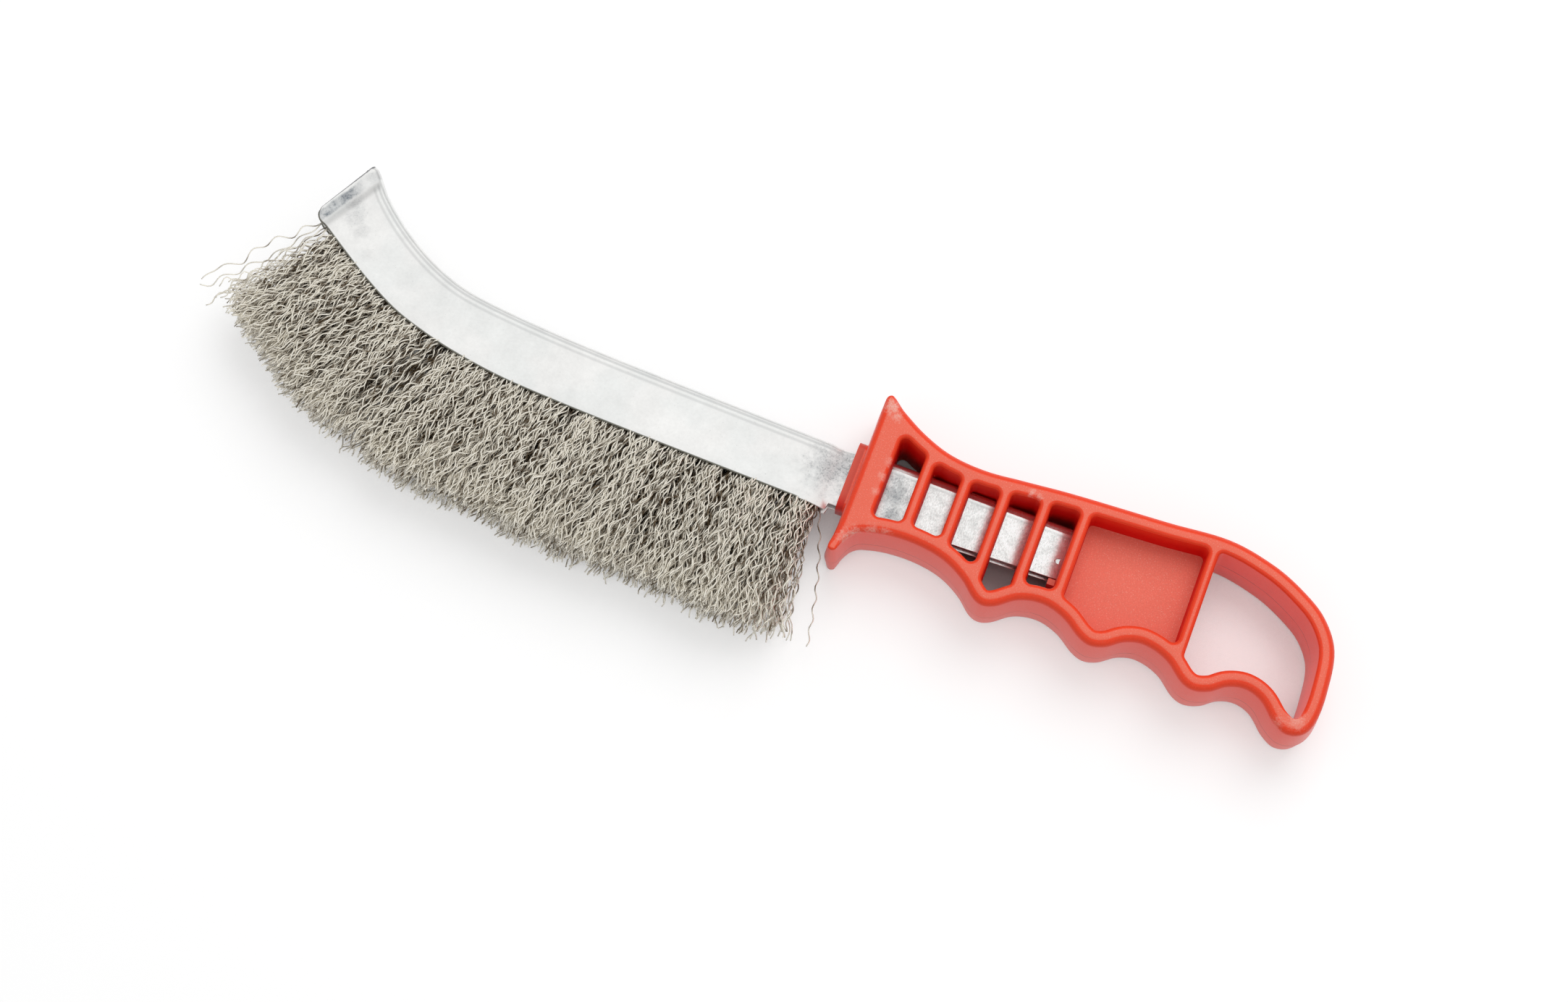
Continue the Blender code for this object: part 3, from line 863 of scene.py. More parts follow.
class Wire:
    """One crimped wire, from inside the channel to its end."""

    def __init__(self, root, end, level, chance):
        self.root = Vector(root)
        self.end = Vector(end)
        self.level = level
        run = (self.end - self.root).normalized()
        self.sideways = run.cross(Vector((0, 0, 1))).normalized()
        self.upwards = self.sideways.cross(run)
        self.length = (self.end - self.root).length
        self.drift = chance.gauss(0.0, drift)
        self.meander = meander * chance.gauss(0.0, 1.0)
        self.meander_turn = chance.uniform(0, 2 * math.pi)
        self.sideways_reach = crimp_sideways * chance.uniform(*crimp_spread)
        self.upwards_reach = crimp_upwards * chance.uniform(*crimp_spread)
        self.sideways_turn = chance.uniform(0, 2 * math.pi)
        self.upwards_turn = chance.uniform(0, 2 * math.pi)
        self.sideways_waves = self.length / (crimp_length * chance.uniform(*crimp_length_spread))
        self.upwards_waves = self.length / (crimp_length * chance.uniform(*crimp_length_spread))

    def drawn(self, steps):
        """Its points, and its painted light at each, from 0 to 1: lighter towards the outside of the
        tuft, on crests facing out and at its end.
        """
        outwards = 1.0 if self.level > 0 else -1.0
        path = []
        shines = []
        for step in range(steps + 1):
            share = step / steps
            place = self.root.lerp(self.end, share)
            place.z += (share ** rise_power - share) * (self.end.z - self.root.z)
            slow = math.sin(self.meander_turn + 2 * math.pi * share * meander_waves)
            bow = self.drift * math.sin(math.pi * share) + self.meander * slow * share
            place += bow * self.sideways
            growth = min(1.0, crimp_growth * share + crimp_at_root)
            across = math.sin(self.sideways_turn + 2 * math.pi * share * self.sideways_waves)
            rise = math.sin(self.upwards_turn + 2 * math.pi * share * self.upwards_waves)
            place += growth * self.sideways_reach * across * self.sideways
            place += growth * self.upwards_reach * rise * self.upwards
            path.append(place)
            shine = level_painted_light * abs(self.level) + least_painted_light + crimp_painted_highlight * outwards * rise
            shine += end_painted_light * share ** end_painted_light_power
            shines.append(min(max(shine, 0.0), 1.0))
        return path, shines


def tuft_wire(lock, pitch, chance):
    """A wire of this lock, for a tuft that takes up this pitch of the channel."""
    distance = lock.distance + chance.gauss(0.0, wire_shift_share) * pitch
    distance = min(max(distance, tip_margin), blade.run - heel_margin)
    level = chance.choice((-1, 1)) * chance.random() ** level_power
    mouth, across, _, width = blade.at(distance)
    half = width / 2 - sheet_thickness - wire_radius
    end_level = min(max(level + chance.gauss(0.0, level_spread), -1.0), 1.0)
    length = tip_bristle_length + (heel_bristle_length - tip_bristle_length) * distance / blade.run
    length *= lock.reach_share * (longest_share - length_spread_share / 2 * chance.random())
    length *= 1 - tip_shortening * max(0.0, 1 - distance / tip_short_length)
    angle = fan_angle(distance) + lock.lean + chance.gauss(0.0, wire_splay)
    lean = Vector((across.y, -across.x)) * -math.sin(angle) - across * math.cos(angle)
    root = raised(mouth + wire_root_depth * across, mid_height + level * half)
    end = raised(mouth + length * lean, mid_height + end_level * (mid_height - level_margin))
    return Wire(root, end, end_level, chance)


def wire_ring(path, sideways, step):
    """The corners round a path at one of its points."""
    ahead = path[min(step + 1, len(path) - 1)] - path[max(step - 1, 0)]
    axis = ahead.cross(sideways).normalized()
    other = axis.cross(ahead.normalized())
    ring = []
    for corner in range(wire_sides):
        turn = 2 * math.pi * corner / wire_sides
        ring.append(path[step] + wire_radius * (math.cos(turn) * axis + math.sin(turn) * other))
    return ring


def draw_wires(shape, wires, steps, tone_of):
    """Draws wires with these tones out together from their roots, all in this many steps."""
    wire_layer = shape.verts.layers.int["wire"]
    corner_layer = shape.verts.layers.int["corner"]
    tone_layer = shape.verts.layers.float["tone"]
    # The "outwards" layer holds each point's painted light
    painted_light_layer = shape.verts.layers.float["outwards"]
    drawings = []
    for wire in wires:
        path, shines = wire.drawn(steps)
        drawings.append(([kept_in(point, *cad_box) for point in path], shines))
    line = []
    for index, (wire, (path, _)) in enumerate(zip(wires, drawings)):
        ring = bmesh.ops.create_circle(shape, segments=wire_sides, radius=wire_radius)["verts"]
        for corner, (vert, place) in enumerate(zip(ring, wire_ring(path, wire.sideways, 0))):
            vert.co = place
            vert[wire_layer] = index
            vert[corner_layer] = corner
            vert[tone_layer] = tone_of[index]
            vert[painted_light_layer] = 0.0
        line.extend({edge for vert in ring for edge in vert.link_edges})
    ends = list(line)
    for step in range(1, steps + 1):
        line, row = drawn_out(shape, line)
        rings = {}
        for vert in row:
            index = vert[wire_layer]
            path, shines = drawings[index]
            if index not in rings:
                rings[index] = wire_ring(path, wires[index].sideways, step)
            vert.co = rings[index][vert[corner_layer]]
            vert[painted_light_layer] = shines[step]
    bmesh.ops.holes_fill(shape, edges=ends + line)


def make_tuft(name, wires, bristle_steel, node, chance):
    """All the wires of a tuft. Those deep inside it are drawn more plainly."""
    shape = bmesh.new()
    shape.verts.layers.int.new("wire")
    shape.verts.layers.int.new("corner")
    shape.verts.layers.float.new("tone")
    shape.verts.layers.float.new("outwards")
    outer = [wire for wire in wires if abs(wire.level) > outer_share]
    inner = [wire for wire in wires if abs(wire.level) <= outer_share]
    for chosen, steps in ((outer, outer_wire_steps), (inner, inner_wire_steps)):
        draw_wires(shape, chosen, steps, [chance.random() for _ in chosen])
    bmesh.ops.recalc_face_normals(shape, faces=shape.faces)
    for face in shape.faces:
        face.smooth = len(face.verts) == 4
    add_piece(name, mesh_from(shape, name), bristle_steel, [node])


def make_bristles(bristle_steel):
    """The tufts along the channel. The first and the last are crowded away from its ends."""
    chance = random.Random(bristle_seed)
    pitch = (blade.run - tip_margin - heel_margin) / tuft_count
    for index in range(tuft_count):
        low = tip_margin + index * pitch
        wires = []
        crowding = {0: tip_crowding, tuft_count - 1: heel_crowding}.get(index, 1.0)
        for _ in range(locks_in_tuft):
            lock = Lock(low, low + pitch, crowding, chance)
            wires.extend(tuft_wire(lock, pitch, chance) for _ in range(wires_in_lock))
        strays = {0: tip_strays, tuft_count - 1: heel_strays}.get(index, ())
        wires.extend(Wire(*ends, stray_level, chance) for ends in strays)
        number = f"{index + 1:02d}"
        make_tuft("bristle_wires_" + number, wires, bristle_steel, "bristle_tuft_" + number, chance)


# Materials

def is_socket(value):
    return isinstance(value, bpy.types.NodeSocket)


def set_inputs(made, inputs):
    """Links a shader node's inputs, or sets those that are plain values."""
    for name, value in inputs.items():
        if is_socket(value):
            made.id_data.links.new(value, made.inputs[name])
        else:
            made.inputs[name].default_value = value


def add_node(tree, kind, inputs=None, **settings):
    """A shader node with these settings and inputs."""
    made = tree.nodes.new("ShaderNode" + kind)
    for name, value in settings.items():
        setattr(made, name, value)
    set_inputs(made, inputs or {})
    return made


def next_node(kind, inputs, **settings):
    """A shader node in the tree that its first linked input comes from."""
    linked = [value for value in inputs.values() if is_socket(value)]
    return add_node(linked[0].id_data, kind, inputs, **settings)


def sums(operation, *values, clamp=False):
    return next_node(
        "Math", dict(enumerate(values)), operation=operation, use_clamp=clamp
    ).outputs[0]


def times(first, second):
    return sums("MULTIPLY", first, second)


def times_plus(first, second, added):
    return sums("MULTIPLY_ADD", first, second, added)


def blended(share, first, second):
    """One colour turning into another."""
    return next_node("Mix", {0: share, 6: first, 7: second}, data_type="RGBA").outputs[2]


def toned(paint, tone):
    """A colour made lighter or darker by a tone round 1."""
    return next_node(
        "Mix", {0: 1.0, 6: paint, 7: tone}, data_type="RGBA", blend_type="MULTIPLY"
    ).outputs[2]


def ranged(value, low, high, start=0.0, end=1.0):
    """Goes smoothly from start to end while the value goes from low to high."""
    return next_node(
        "MapRange", {0: value, 1: low, 2: high, 3: start, 4: end},
        interpolation_type="SMOOTHSTEP",
    ).outputs[0]


def band(value, low, high, soft):
    """1 between two values, fading over a soft width on both sides."""
    return times(ranged(value, low - soft, low), ranged(value, high, high + soft, 1.0, 0.0))


def noise(place, scale, detail=2.0, roughness=0.5):
    return next_node("TexNoise", {
        "Vector": place, "Scale": scale, "Detail": detail, "Roughness": roughness,
    }).outputs[0]


def bump(height, strength, distance):
    return next_node(
        "Bump", {"Height": height, "Strength": strength, "Distance": distance}
    ).outputs[0]


def parts_of(vector):
    return next_node("SeparateXYZ", {0: vector}).outputs


def attribute(tree, name):
    return add_node(tree, "Attribute", attribute_name=name).outputs["Fac"]


def colour(red, green, blue):
    return (red, green, blue, 1.0)


def new_group(name, places, numbers, output):
    """An empty node group that makes a number of places and numbers, and its two ends."""
    tree = bpy.data.node_groups.new(name, "ShaderNodeTree")
    for labels, kind in ((places, "NodeSocketVector"), (numbers, "NodeSocketFloat")):
        for label in labels:
            tree.interface.new_socket(label, in_out="INPUT", socket_type=kind)
    tree.interface.new_socket(output, in_out="OUTPUT", socket_type="NodeSocketFloat")
    return tree, tree.nodes.new("NodeGroupInput").outputs, tree.nodes.new("NodeGroupOutput")


def use_group(group, *values):
    """What a node group makes of these inputs, in their order."""
    return next_node("Group", dict(enumerate(values)), node_tree=group).outputs[0]


def new_material(name):
    made = bpy.data.materials.new(name)
    made.use_nodes = True
    tree = made.node_tree
    return made, tree, tree.nodes["Principled BSDF"]


def make_fine_specks():
    """Small specks, such as moulded grain or the pits of a plating."""
    tree, given, result = new_group(
        "fine_specks", ("Place",), ("Scale", "Least", "Softness"), "Mask"
    )
    grain = noise(given["Place"], given["Scale"], detail=3.0, roughness=0.65)
    most = sums("ADD", given["Least"], given["Softness"])
    set_inputs(result, {"Mask": ranged(grain, given["Least"], most)})
    return tree


def make_worn_spot():
    """A ragged patch round a point, for scuffs and stains."""
    tree, given, result = new_group(
        "worn_spot", ("Place", "Centre"), ("Radius", "Raggedness", "Scale"), "Mask"
    )
    away = next_node(
        "VectorMath", {0: given["Place"], 1: given["Centre"]}, operation="DISTANCE"
    ).outputs["Value"]
    share = sums("DIVIDE", away, given["Radius"])
    grain = noise(given["Place"], given["Scale"], detail=5.0, roughness=0.75)
    ragged = times(sums("SUBTRACT", grain, 0.5), given["Raggedness"])
    edge = times_plus(ragged, 4.0, share)
    set_inputs(result, {"Mask": ranged(edge, 0.0, 1.3, 1.0, 0.0)})
    return tree


def make_cloudiness():
    """A slow change of tone over a surface, round 1."""
    tree, given, result = new_group("cloudiness", ("Place",), ("Scale", "Depth"), "Tone")
    cloud = noise(given["Place"], given["Scale"], detail=3.0)
    swing = times(sums("SUBTRACT", cloud, 0.5), given["Depth"])
    set_inputs(result, {"Tone": times_plus(swing, 2.0, 1.0)})
    return tree


def worn_in(marks, place, worn_spot, raggedness, scale):
    """How worn a surface is by marks that each have a centre, a radius and a depth."""
    worn = 0.0
    for centre, radius, depth in marks:
        mask = times(use_group(worn_spot, place, centre, radius, raggedness, scale), depth)
        worn = sums("MAXIMUM", worn, mask)
    return worn


# Red plastic: its colours, from where to where they change, and its scuffs with centre, radius
# and depth. The level faces' colours carry a painted sheen, the upright walls' a painted
# reflection of the floor, and the collar's colours are painted darker for the dimmer reflection
# of its glossy top
fillet_red = colour(0.86, 0.052, 0.012)
level_sheen_red = colour(0.85, 0.150, 0.092)
sunk_sheen_red = colour(0.84, 0.178, 0.122)
upright_reflection_red = colour(1.0, 0.105, 0.070)
speck_red = colour(0.93, 0.52, 0.44)
scuff_red = colour(0.88, 0.53, 0.45)
collar_low_red = colour(0.55, 0.010, 0.005)
collar_high_red = colour(0.56, 0.082, 0.056)
seam_red = colour(0.18, 0.012, 0.008)
wall_shade_red = colour(0.80, 0.034, 0.012)
deep_wall_shade_red = colour(0.70, 0.005, 0.003)
sunk_heights = (0.0125, 0.0150)
wall_shade_depths = (0.0008, 0.0060)
collar_end = (guard_front - 0.0003, guard_front + 0.0001)
collar_middle = (-0.0060, -0.0030)
seam_reach = (0.00005, 0.00016)
plastic_scuffs = (
    ((-0.0012, 0.0192, 0.0200), 0.0022, 0.80), ((0.0006, 0.0172, 0.0200), 0.0014, 0.60),
    ((0.0012, -0.0140, 0.0200), 0.0024, 0.85), ((-0.0004, -0.0152, 0.0200), 0.0022, 0.80),
    ((0.0048, -0.0118, 0.0200), 0.0020, 0.60), ((0.0078, -0.0110, 0.0200), 0.0016, 0.50),
    ((0.0030, 0.0060, 0.0200), 0.0014, 0.55), ((0.0026, 0.0020, 0.0200), 0.0013, 0.50),
    ((0.0022, -0.0020, 0.0200), 0.0012, 0.45),
    ((0.0372, 0.0108, 0.0195), 0.0011, 0.95), ((0.0392, 0.0105, 0.0195), 0.0009, 0.85),
    ((0.1130, -0.0195, 0.0200), 0.0022, 0.50), ((0.1090, -0.0215, 0.0200), 0.0018, 0.40),
)


def scuffed(place, worn_spot):
    """Where the plastic is scuffed pale, in ragged patches broken up by a fine grain."""
    worn = worn_in(plastic_scuffs, place, worn_spot, 0.75, 1100.0)
    broken = ranged(noise(place, 3000.0, detail=3.0), 0.42, 0.60, 0.52, 1.0)
    return times(worn, broken)


def mould_seam(place, height, rise):
    """The thin dark line where the mould's halves met, faint in places."""
    from_middle = sums("ABSOLUTE", sums("SUBTRACT", height, mid_height))
    line = ranged(from_middle, *seam_reach, 1.0, 0.0)
    broken = ranged(noise(place, 130.0), 0.40, 0.58, 0.35, 1.0)
    upright = ranged(rise, 0.2, 0.6, 1.0, 0.0)
    return times(times(line, broken), upright)


def plastic_grain(place):
    return noise(place, 1900.0, detail=4.0, roughness=0.6)


def make_red_plastic(specks, worn_spot, cloudiness):
    """Red plastic, speckled where it lies level and clean and glossy on its fillets, with painted
    light: a paler painted sheen on level faces, a painted reflection on upright walls and a darker
    painted reflection on the collar.
    """
    made, tree, shader = new_material("red_plastic")
    spot = add_node(tree, "TexCoord").outputs
    place = spot["Object"]
    along, across, height = parts_of(place)
    rise = sums("ABSOLUTE", parts_of(spot["Normal"])[2])
    # Painted sheen: level faces paler than the saturated fillets, paler still on the sunken web
    level = ranged(rise, 0.93, 0.995)
    paint = blended(level, fillet_red, level_sheen_red)
    sunk = times(level, ranged(height, *sunk_heights, 1.0, 0.0))
    paint = blended(sunk, paint, sunk_sheen_red)
    # Painted reflection: upright walls painted lighter, for the pale floor they mirror
    paint = blended(ranged(rise, 0.15, 0.45, 1.0, 0.0), paint, upright_reflection_red)
    cloud = use_group(cloudiness, place, 70.0, 0.06)
    grit = use_group(cloudiness, place, 3600.0, 0.14)
    paint = toned(paint, times(cloud, grit))
    pale = use_group(specks, place, 3200.0, 0.56, 0.14)
    pale = times(pale, ranged(level, 0.0, 1.0, 0.06, 0.42))
    paint = blended(pale, paint, speck_red)
    worn = scuffed(place, worn_spot)
    paint = blended(worn, paint, scuff_red)
    # Painted reflection: the collar painted darker for the dimmer reflection on its glossy top,
    # deeper red towards its low end
    collar = ranged(along, *collar_end, 1.0, 0.0)
    block = blended(ranged(across, *collar_middle), collar_low_red, collar_high_red)
    paint = blended(times(collar, 0.8), paint, block)
    seam = mould_seam(place, height, rise)
    paint = blended(times(seam, 0.85), paint, seam_red)
    grain = plastic_grain(place)
    rough = times_plus(grain, 0.20, ranged(level, 0.0, 1.0, 0.24, 0.40))
    relief = sums("SUBTRACT", grain, times(seam, 1.5))
    set_inputs(shader, {
        "Base Color": paint, "Roughness": times_plus(worn, 0.2, rough),
        "Specular IOR Level": 0.35, "Normal": bump(relief, 0.35, 0.00006),
    })
    return made


def make_shaded_red_plastic(cloudiness):
    """The walls inside the windows and the panel: a shaded copy of the red plastic, its deep red
    painted shade that darkens towards the handle's mid-height, with no shine.
    """
    made, tree, shader = new_material("shaded_red_plastic")
    place = add_node(tree, "TexCoord").outputs["Object"]
    from_middle = sums("ABSOLUTE", sums("SUBTRACT", parts_of(place)[2], mid_height))
    depth = sums("SUBTRACT", handle_thickness / 2, from_middle)
    # Painted shade: the walls darken from the rim towards the handle's mid-height
    paint = blended(ranged(depth, *wall_shade_depths), wall_shade_red, deep_wall_shade_red)
    grain = plastic_grain(place)
    set_inputs(shader, {
        "Base Color": toned(paint, use_group(cloudiness, place, 500.0, 0.08)),
        "Roughness": times_plus(grain, 0.20, 0.45),
        "Specular IOR Level": 0.10, "Normal": bump(grain, 0.25, 0.00006),
    })
    return made


# Zinc: its colours, from where to where they change, and its stains with centre, radius and
# depth. The valley, the end, the ridge and the mouth are measured on the sheet. The ridge's grey
# lines are painted reflections, the mouth's brown line painted shade, and the tang gets a painted
# highlight along its bend and painted light further into the handle
zinc_light = colour(0.900, 0.898, 0.882)
zinc_dim = colour(0.862, 0.872, 0.858)
stain_grey = colour(0.155, 0.170, 0.190)
valley_grey = colour(0.150, 0.175, 0.205)
end_grey = colour(0.13, 0.13, 0.14)
ridge_reflection_grey = colour(0.36, 0.37, 0.37)
mouth_shade_brown = colour(0.085, 0.080, 0.052)
pit_grey = colour(0.30, 0.31, 0.32)
tang_cover = (-0.0050, -0.0020)
tang_far_light = (0.0100, 0.0450)
bend_highlight_reach = (0.0026, 0.0034)
valley_place = (0.0027, 0.0044)
valley_fade = 0.0010
valley_heights = (0.0085, 0.0140)
end_reach = (0.00055, 0.00100)
ridge_outer_reflection = (0.0014, 0.0017, 0.0003)
ridge_inner_reflection = (0.0027, 0.0029, 0.0004)
ridge_full = 0.0065
mouth_shade_reach = (0.00022, 0.00050)
mouth_shade_stops = (0.0075, 0.0060)
zinc_stains = (
    ((-0.0100, 0.0012, 0.0137), 0.0070, 0.70), ((-0.0082, 0.0030, 0.0130), 0.0048, 0.75),
    ((-0.1440, 0.0235, 0.0130), 0.0028, 0.42), ((-0.1425, 0.0205, 0.0137), 0.0032, 0.34),
    ((-0.1400, 0.0170, 0.0137), 0.0026, 0.26), ((-0.1360, 0.0120, 0.0137), 0.0018, 0.16),
    ((0.0062, 0.0010, 0.0125), 0.0042, 0.80), ((0.0070, -0.0045, 0.0125), 0.0024, 0.90),
    ((0.0050, 0.0040, 0.0125), 0.0028, 0.60),
)


def valley_end_and_painted_light(place, paint, grainy, from_tip, from_mouth, from_spine):
    """Darkens the zinc in the valley and at the ragged end, and paints reflection lines beside the
    ridge and shade along the mouth.
    """
    ragged = times_plus(noise(place, 350.0, detail=4.0), 0.0018, from_tip)
    valley = band(ragged, *valley_place, valley_fade)
    lower = ranged(from_mouth, *valley_heights, 1.0, 0.30)
    valley = times(valley, times(lower, times_plus(grainy, 0.30, 0.70)))
    streaks = ranged(noise(place, 420.0, detail=4.0), 0.36, 0.62, 1.0, 0.45)
    paint = blended(times(valley, streaks), paint, valley_grey)
    end_ragged = times_plus(noise(place, 900.0), 0.0006, from_tip)
    end = ranged(end_ragged, *end_reach, 1.0, 0.0)
    paint = blended(times(end, 0.85), paint, end_grey)
    # Painted reflection: two grey lines beside the ridge, fading in from the tip
    ridge_reflection_lines = times_plus(band(from_spine, *ridge_inner_reflection), 0.7, band(from_spine, *ridge_outer_reflection))
    ridge_reflection_lines = times(ridge_reflection_lines, ranged(from_tip, ridge_start, ridge_full, 0.0, 0.38))
    paint = blended(ridge_reflection_lines, paint, ridge_reflection_grey)
    # Painted shade: a brown line along the mouth's cut edge, stopping short of the neck
    first_stop, last_stop = (blade.run - distance for distance in mouth_shade_stops)
    mouth = ranged(from_mouth, *mouth_shade_reach, 1.0, 0.0)
    mouth = times(mouth, ranged(from_tip, first_stop, last_stop, 1.0, 0.0))
    return blended(times(mouth, 0.9), paint, mouth_shade_brown)


def make_zinc_steel(specks, worn_spot, cloudiness):
    """Bright zinc plating, clouded on the blade and finely brushed and pitted on the tang, whose
    bend gets a painted highlight and which is painted lighter further into the handle.
    """
    made, tree, shader = new_material("zinc_steel")
    place = add_node(tree, "TexCoord").outputs["Object"]
    along = parts_of(place)[0]
    from_tip, from_mouth, from_spine = (attribute(tree, name) for name in distance_names)
    slow = use_group(cloudiness, place, 55.0, 0.07)
    tone = use_group(cloudiness, place, 240.0, 0.08)
    fine = use_group(cloudiness, place, 1500.0, 0.07)
    tint = ranged(noise(place, 80.0, detail=3.0), 0.40, 0.62)
    paint = blended(tint, zinc_light, zinc_dim)
    paint = toned(paint, times(slow, times(tone, fine)))
    inside = ranged(along, *tang_cover)
    # Painted light: the tang painted lighter further into the handle
    far_tang_light = ranged(along, *tang_far_light, 1.0, 1.12)
    stretched = next_node("Mapping", {"Vector": place, "Scale": (1.6, 0.9, 1.0)}).outputs[0]
    brushed = noise(stretched, 1700.0, detail=5.0, roughness=0.70)
    brushed = ranged(brushed, 0.34, 0.66, 1.08, 0.80)
    mottled = ranged(noise(place, 420.0, detail=4.0), 0.36, 0.64, 1.06, 0.90)
    # Painted highlight: the tang's bend kept at least at full tone
    bend_highlight = ranged(from_spine, *bend_highlight_reach, 1.0, 0.0)
    brushed = sums("MAXIMUM", times(brushed, mottled), bend_highlight)
    brushed = sums("SUBTRACT", times(brushed, far_tang_light), 1.0)
    paint = toned(paint, times_plus(brushed, inside, 1.0))
    grainy = use_group(specks, place, 2200.0, 0.50, 0.12)
    stain = worn_in(zinc_stains, place, worn_spot, 0.6, 500.0)
    stain = times(stain, times_plus(grainy, 0.45, 0.55))
    paint = blended(stain, paint, stain_grey)
    paint = valley_end_and_painted_light(place, paint, grainy, from_tip, from_mouth, from_spine)
    pits = use_group(specks, place, 1900.0, 0.66, 0.05)
    pits = times(pits, ranged(inside, 0.0, 1.0, 0.25, 0.75))
    grain = noise(place, 1500.0, detail=4.0, roughness=0.6)
    set_inputs(shader, {
        "Base Color": blended(pits, paint, pit_grey),
        "Metallic": ranged(inside, 0.0, 1.0, 0.75, 0.95),
        "Roughness": times_plus(grain, 0.20, ranged(inside, 0.0, 1.0, 0.26, 0.13)),
        "Normal": bump(grain, 0.25, 0.00004),
    })
    return made


# Steel wires: the brown is painted shade deep inside the tufts, the cream painted light on their
# outside
shaded_wire_brown = colour(0.175, 0.122, 0.070)
lit_wire_cream = colour(1.0, 0.948, 0.835)
core_wire_grey = colour(0.55, 0.54, 0.52)


def make_bristle_steel(cloudiness):
    """Bare wire, painted brown and dim as shade deep inside the tufts and painted light where it
    comes to the outside.
    """
    made, tree, shader = new_material("bristle_steel")
    place = add_node(tree, "TexCoord").outputs["Object"]
    # Painted light and shade: the "outwards" attribute and each wire's random tone choose between
    # shaded brown and lit cream
    outer = times_plus(attribute(tree, "tone"), 0.45, attribute(tree, "outwards"))
    paint = blended(ranged(outer, 0.40, 0.97), shaded_wire_brown, lit_wire_cream)
    set_inputs(shader, {
        "Base Color": toned(paint, use_group(cloudiness, place, 900.0, 0.12)),
        "Metallic": 0.45, "Roughness": times_plus(noise(place, 3000.0), 0.2, 0.14),
    })
    return made


def make_steel_wire(cloudiness):
    """Drawn wire, for the retaining wire."""
    made, tree, shader = new_material("steel_wire")
    place = add_node(tree, "TexCoord").outputs["Object"]
    set_inputs(shader, {
        "Base Color": toned(core_wire_grey, use_group(cloudiness, place, 400.0, 0.15)),
        "Metallic": 1.0, "Roughness": times_plus(noise(place, 2500.0), 0.2, 0.3),
    })
    return made


# Stage: the camera as the photograph has it, one soft lamp, the floor and the world
white = colour(1.0, 1.0, 1.0)
floor_grey = colour(0.58, 0.58, 0.58)
floor_reach = 3.0
shadow_reach = 0.03
shadow_samples = 6
camera_target = Vector((-0.0183, -0.0094, 0.0100))
camera_azimuth = 20.7
camera_elevation = 74.5
camera_distance = 0.682
camera_field = math.radians(31.0)
camera_clip = 0.01
lamp_target = Vector((-0.02, 0.0, 0.01))
lamp_azimuth = 168.0
lamp_elevation = 58.0
lamp_distance = 1.2
lamp_size = 0.85
lamp_radiance = 3.0


def make_floor():
    """A plain pale floor, lifted to white for the camera but not where the brush stands over it."""
    shape = bmesh.new()
    bmesh.ops.create_grid(shape, x_segments=1, y_segments=1, size=floor_reach)
    mesh = mesh_from(shape, "floor")
    floor = new_object("floor", mesh)
    made, tree, _ = new_material("floor")
    rays = add_node(tree, "LightPath").outputs
    seen = sums("ADD", rays["Is Camera Ray"], rays["Is Glossy Ray"], clamp=True)
    seen = sums("ADD", seen, rays["Is Transmission Ray"], clamp=True)
    lit = add_node(tree, "BsdfDiffuse", {"Color": floor_grey}).outputs[0]
    open_share = add_node(
        tree, "AmbientOcclusion", {"Distance": shadow_reach}, samples=shadow_samples
    ).outputs["AO"]
    lift = ranged(open_share, 0.04, 0.34, 0.0, 0.48)
    glow = next_node("Emission", {"Color": white, "Strength": times(seen, lift)}).outputs[0]
    both = next_node("AddShader", {0: lit, 1: glow}).outputs[0]
    set_inputs(tree.nodes["Material Output"], {"Surface": both})
    mesh.materials.append(made)


def make_world():
    """White for the camera, an even light on the brush, and brighter overhead in reflections."""
    world = bpy.data.worlds.new("studio")
    bpy.context.scene.world = world
    world.use_nodes = True
    tree = world.node_tree
    tree.nodes.clear()
    rays = add_node(tree, "LightPath").outputs
    up = parts_of(add_node(tree, "TexCoord").outputs["Generated"])[2]
    plain = sums("ADD", rays["Is Camera Ray"], rays["Is Transmission Ray"], clamp=True)
    mirrored = ranged(up, 0.0, 0.8, 0.32, 0.98)
    around = next_node("Mix", {0: rays["Is Glossy Ray"], 2: 0.62, 3: mirrored}).outputs[0]
    strength = next_node("Mix", {0: plain, 2: around, 3: 1.0}).outputs[0]
    sky = next_node("Background", {"Color": white, "Strength": strength}).outputs[0]
    add_node(tree, "OutputWorld", {"Surface": sky})


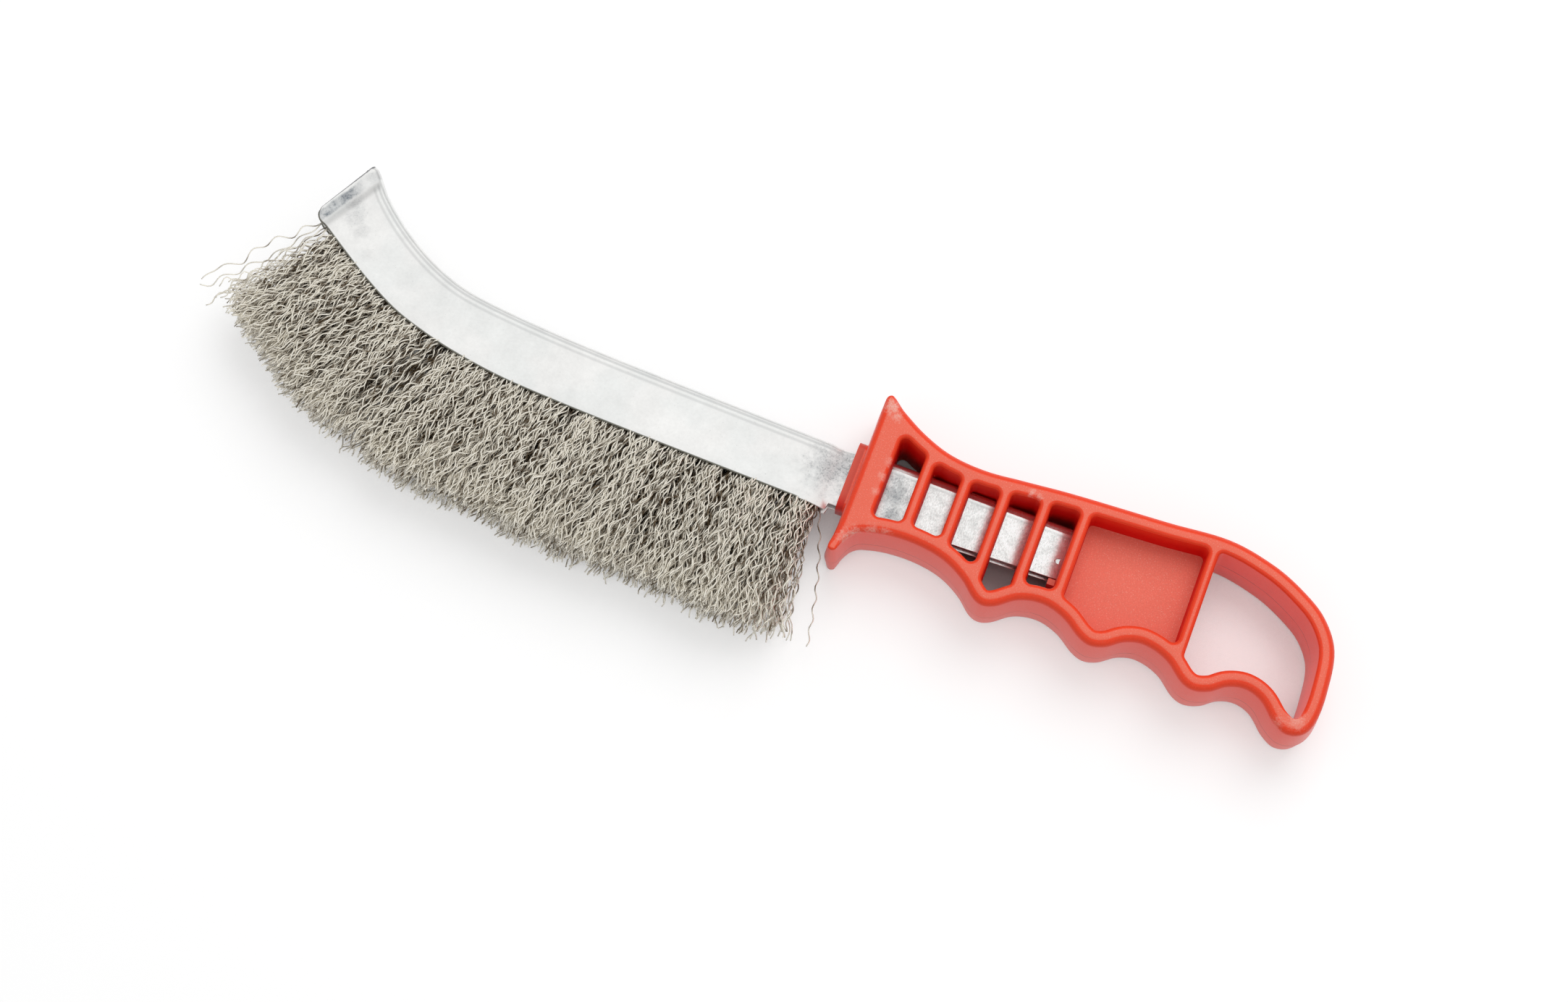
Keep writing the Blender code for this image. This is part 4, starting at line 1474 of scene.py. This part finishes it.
def aimed(place, target):
    """The matrix of a camera or lamp at a place, looking at a target, with its top towards +Z."""
    back = (Vector(place) - Vector(target)).normalized()
    right = Vector((0, 0, 1)).cross(back).normalized()
    turned = Matrix((right, back.cross(right), back)).transposed()
    return Matrix.Translation(place) @ turned.to_4x4()


def direction(azimuth, elevation):
    """From the brush towards a place seen at this azimuth, from -Y round to +X, and elevation."""
    around, up = math.radians(azimuth), math.radians(elevation)
    return Vector((
        math.sin(around) * math.cos(up), -math.cos(around) * math.cos(up), math.sin(up),
    ))


def make_softbox():
    """The lamp behind the brush, which its shiny faces don't mirror."""
    lamp = bpy.data.lights.new("key_softbox", "AREA")
    lamp.shape = "SQUARE"
    lamp.size = lamp_size
    lamp.energy = lamp_radiance * math.pi * lamp_size * lamp_size
    made = new_object("key_softbox", lamp)
    way = direction(lamp_azimuth, lamp_elevation)
    made.matrix_world = aimed(lamp_target + lamp_distance * way, lamp_target)
    made.visible_glossy = False


def make_camera():
    camera = bpy.data.cameras.new("camera")
    camera.sensor_fit = "HORIZONTAL"
    camera.angle = camera_field
    camera.clip_start = camera_clip
    made = new_object("camera", camera)
    way = direction(camera_azimuth, camera_elevation)
    made.matrix_world = aimed(camera_target + camera_distance * way, camera_target)
    bpy.context.scene.camera = made


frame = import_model()
cad_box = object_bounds()
for thing in list(bpy.data.objects):
    if thing.name in ("Cube", "Light", "Camera"):
        bpy.data.objects.remove(thing, do_unlink=True)
blade = Blade()

fine_specks = make_fine_specks()
worn_spot = make_worn_spot()
cloudiness = make_cloudiness()
red_plastic = make_red_plastic(fine_specks, worn_spot, cloudiness)
shaded_red_plastic = make_shaded_red_plastic(cloudiness)
zinc_steel = make_zinc_steel(fine_specks, worn_spot, cloudiness)
bristle_steel = make_bristle_steel(cloudiness)
steel_wire = make_steel_wire(cloudiness)

make_lattice(red_plastic, shaded_red_plastic)
make_collar(red_plastic)
make_stop(red_plastic)
make_channel(zinc_steel)
make_barb(zinc_steel)
make_bristles(bristle_steel)
retaining_wire = frame["nodes"]["retaining_wire"]
retaining_wire.data.materials.clear()
retaining_wire.data.materials.append(steel_wire)

make_floor()
make_world()
make_softbox()
bpy.context.scene.view_settings.view_transform = "Standard"
make_camera()
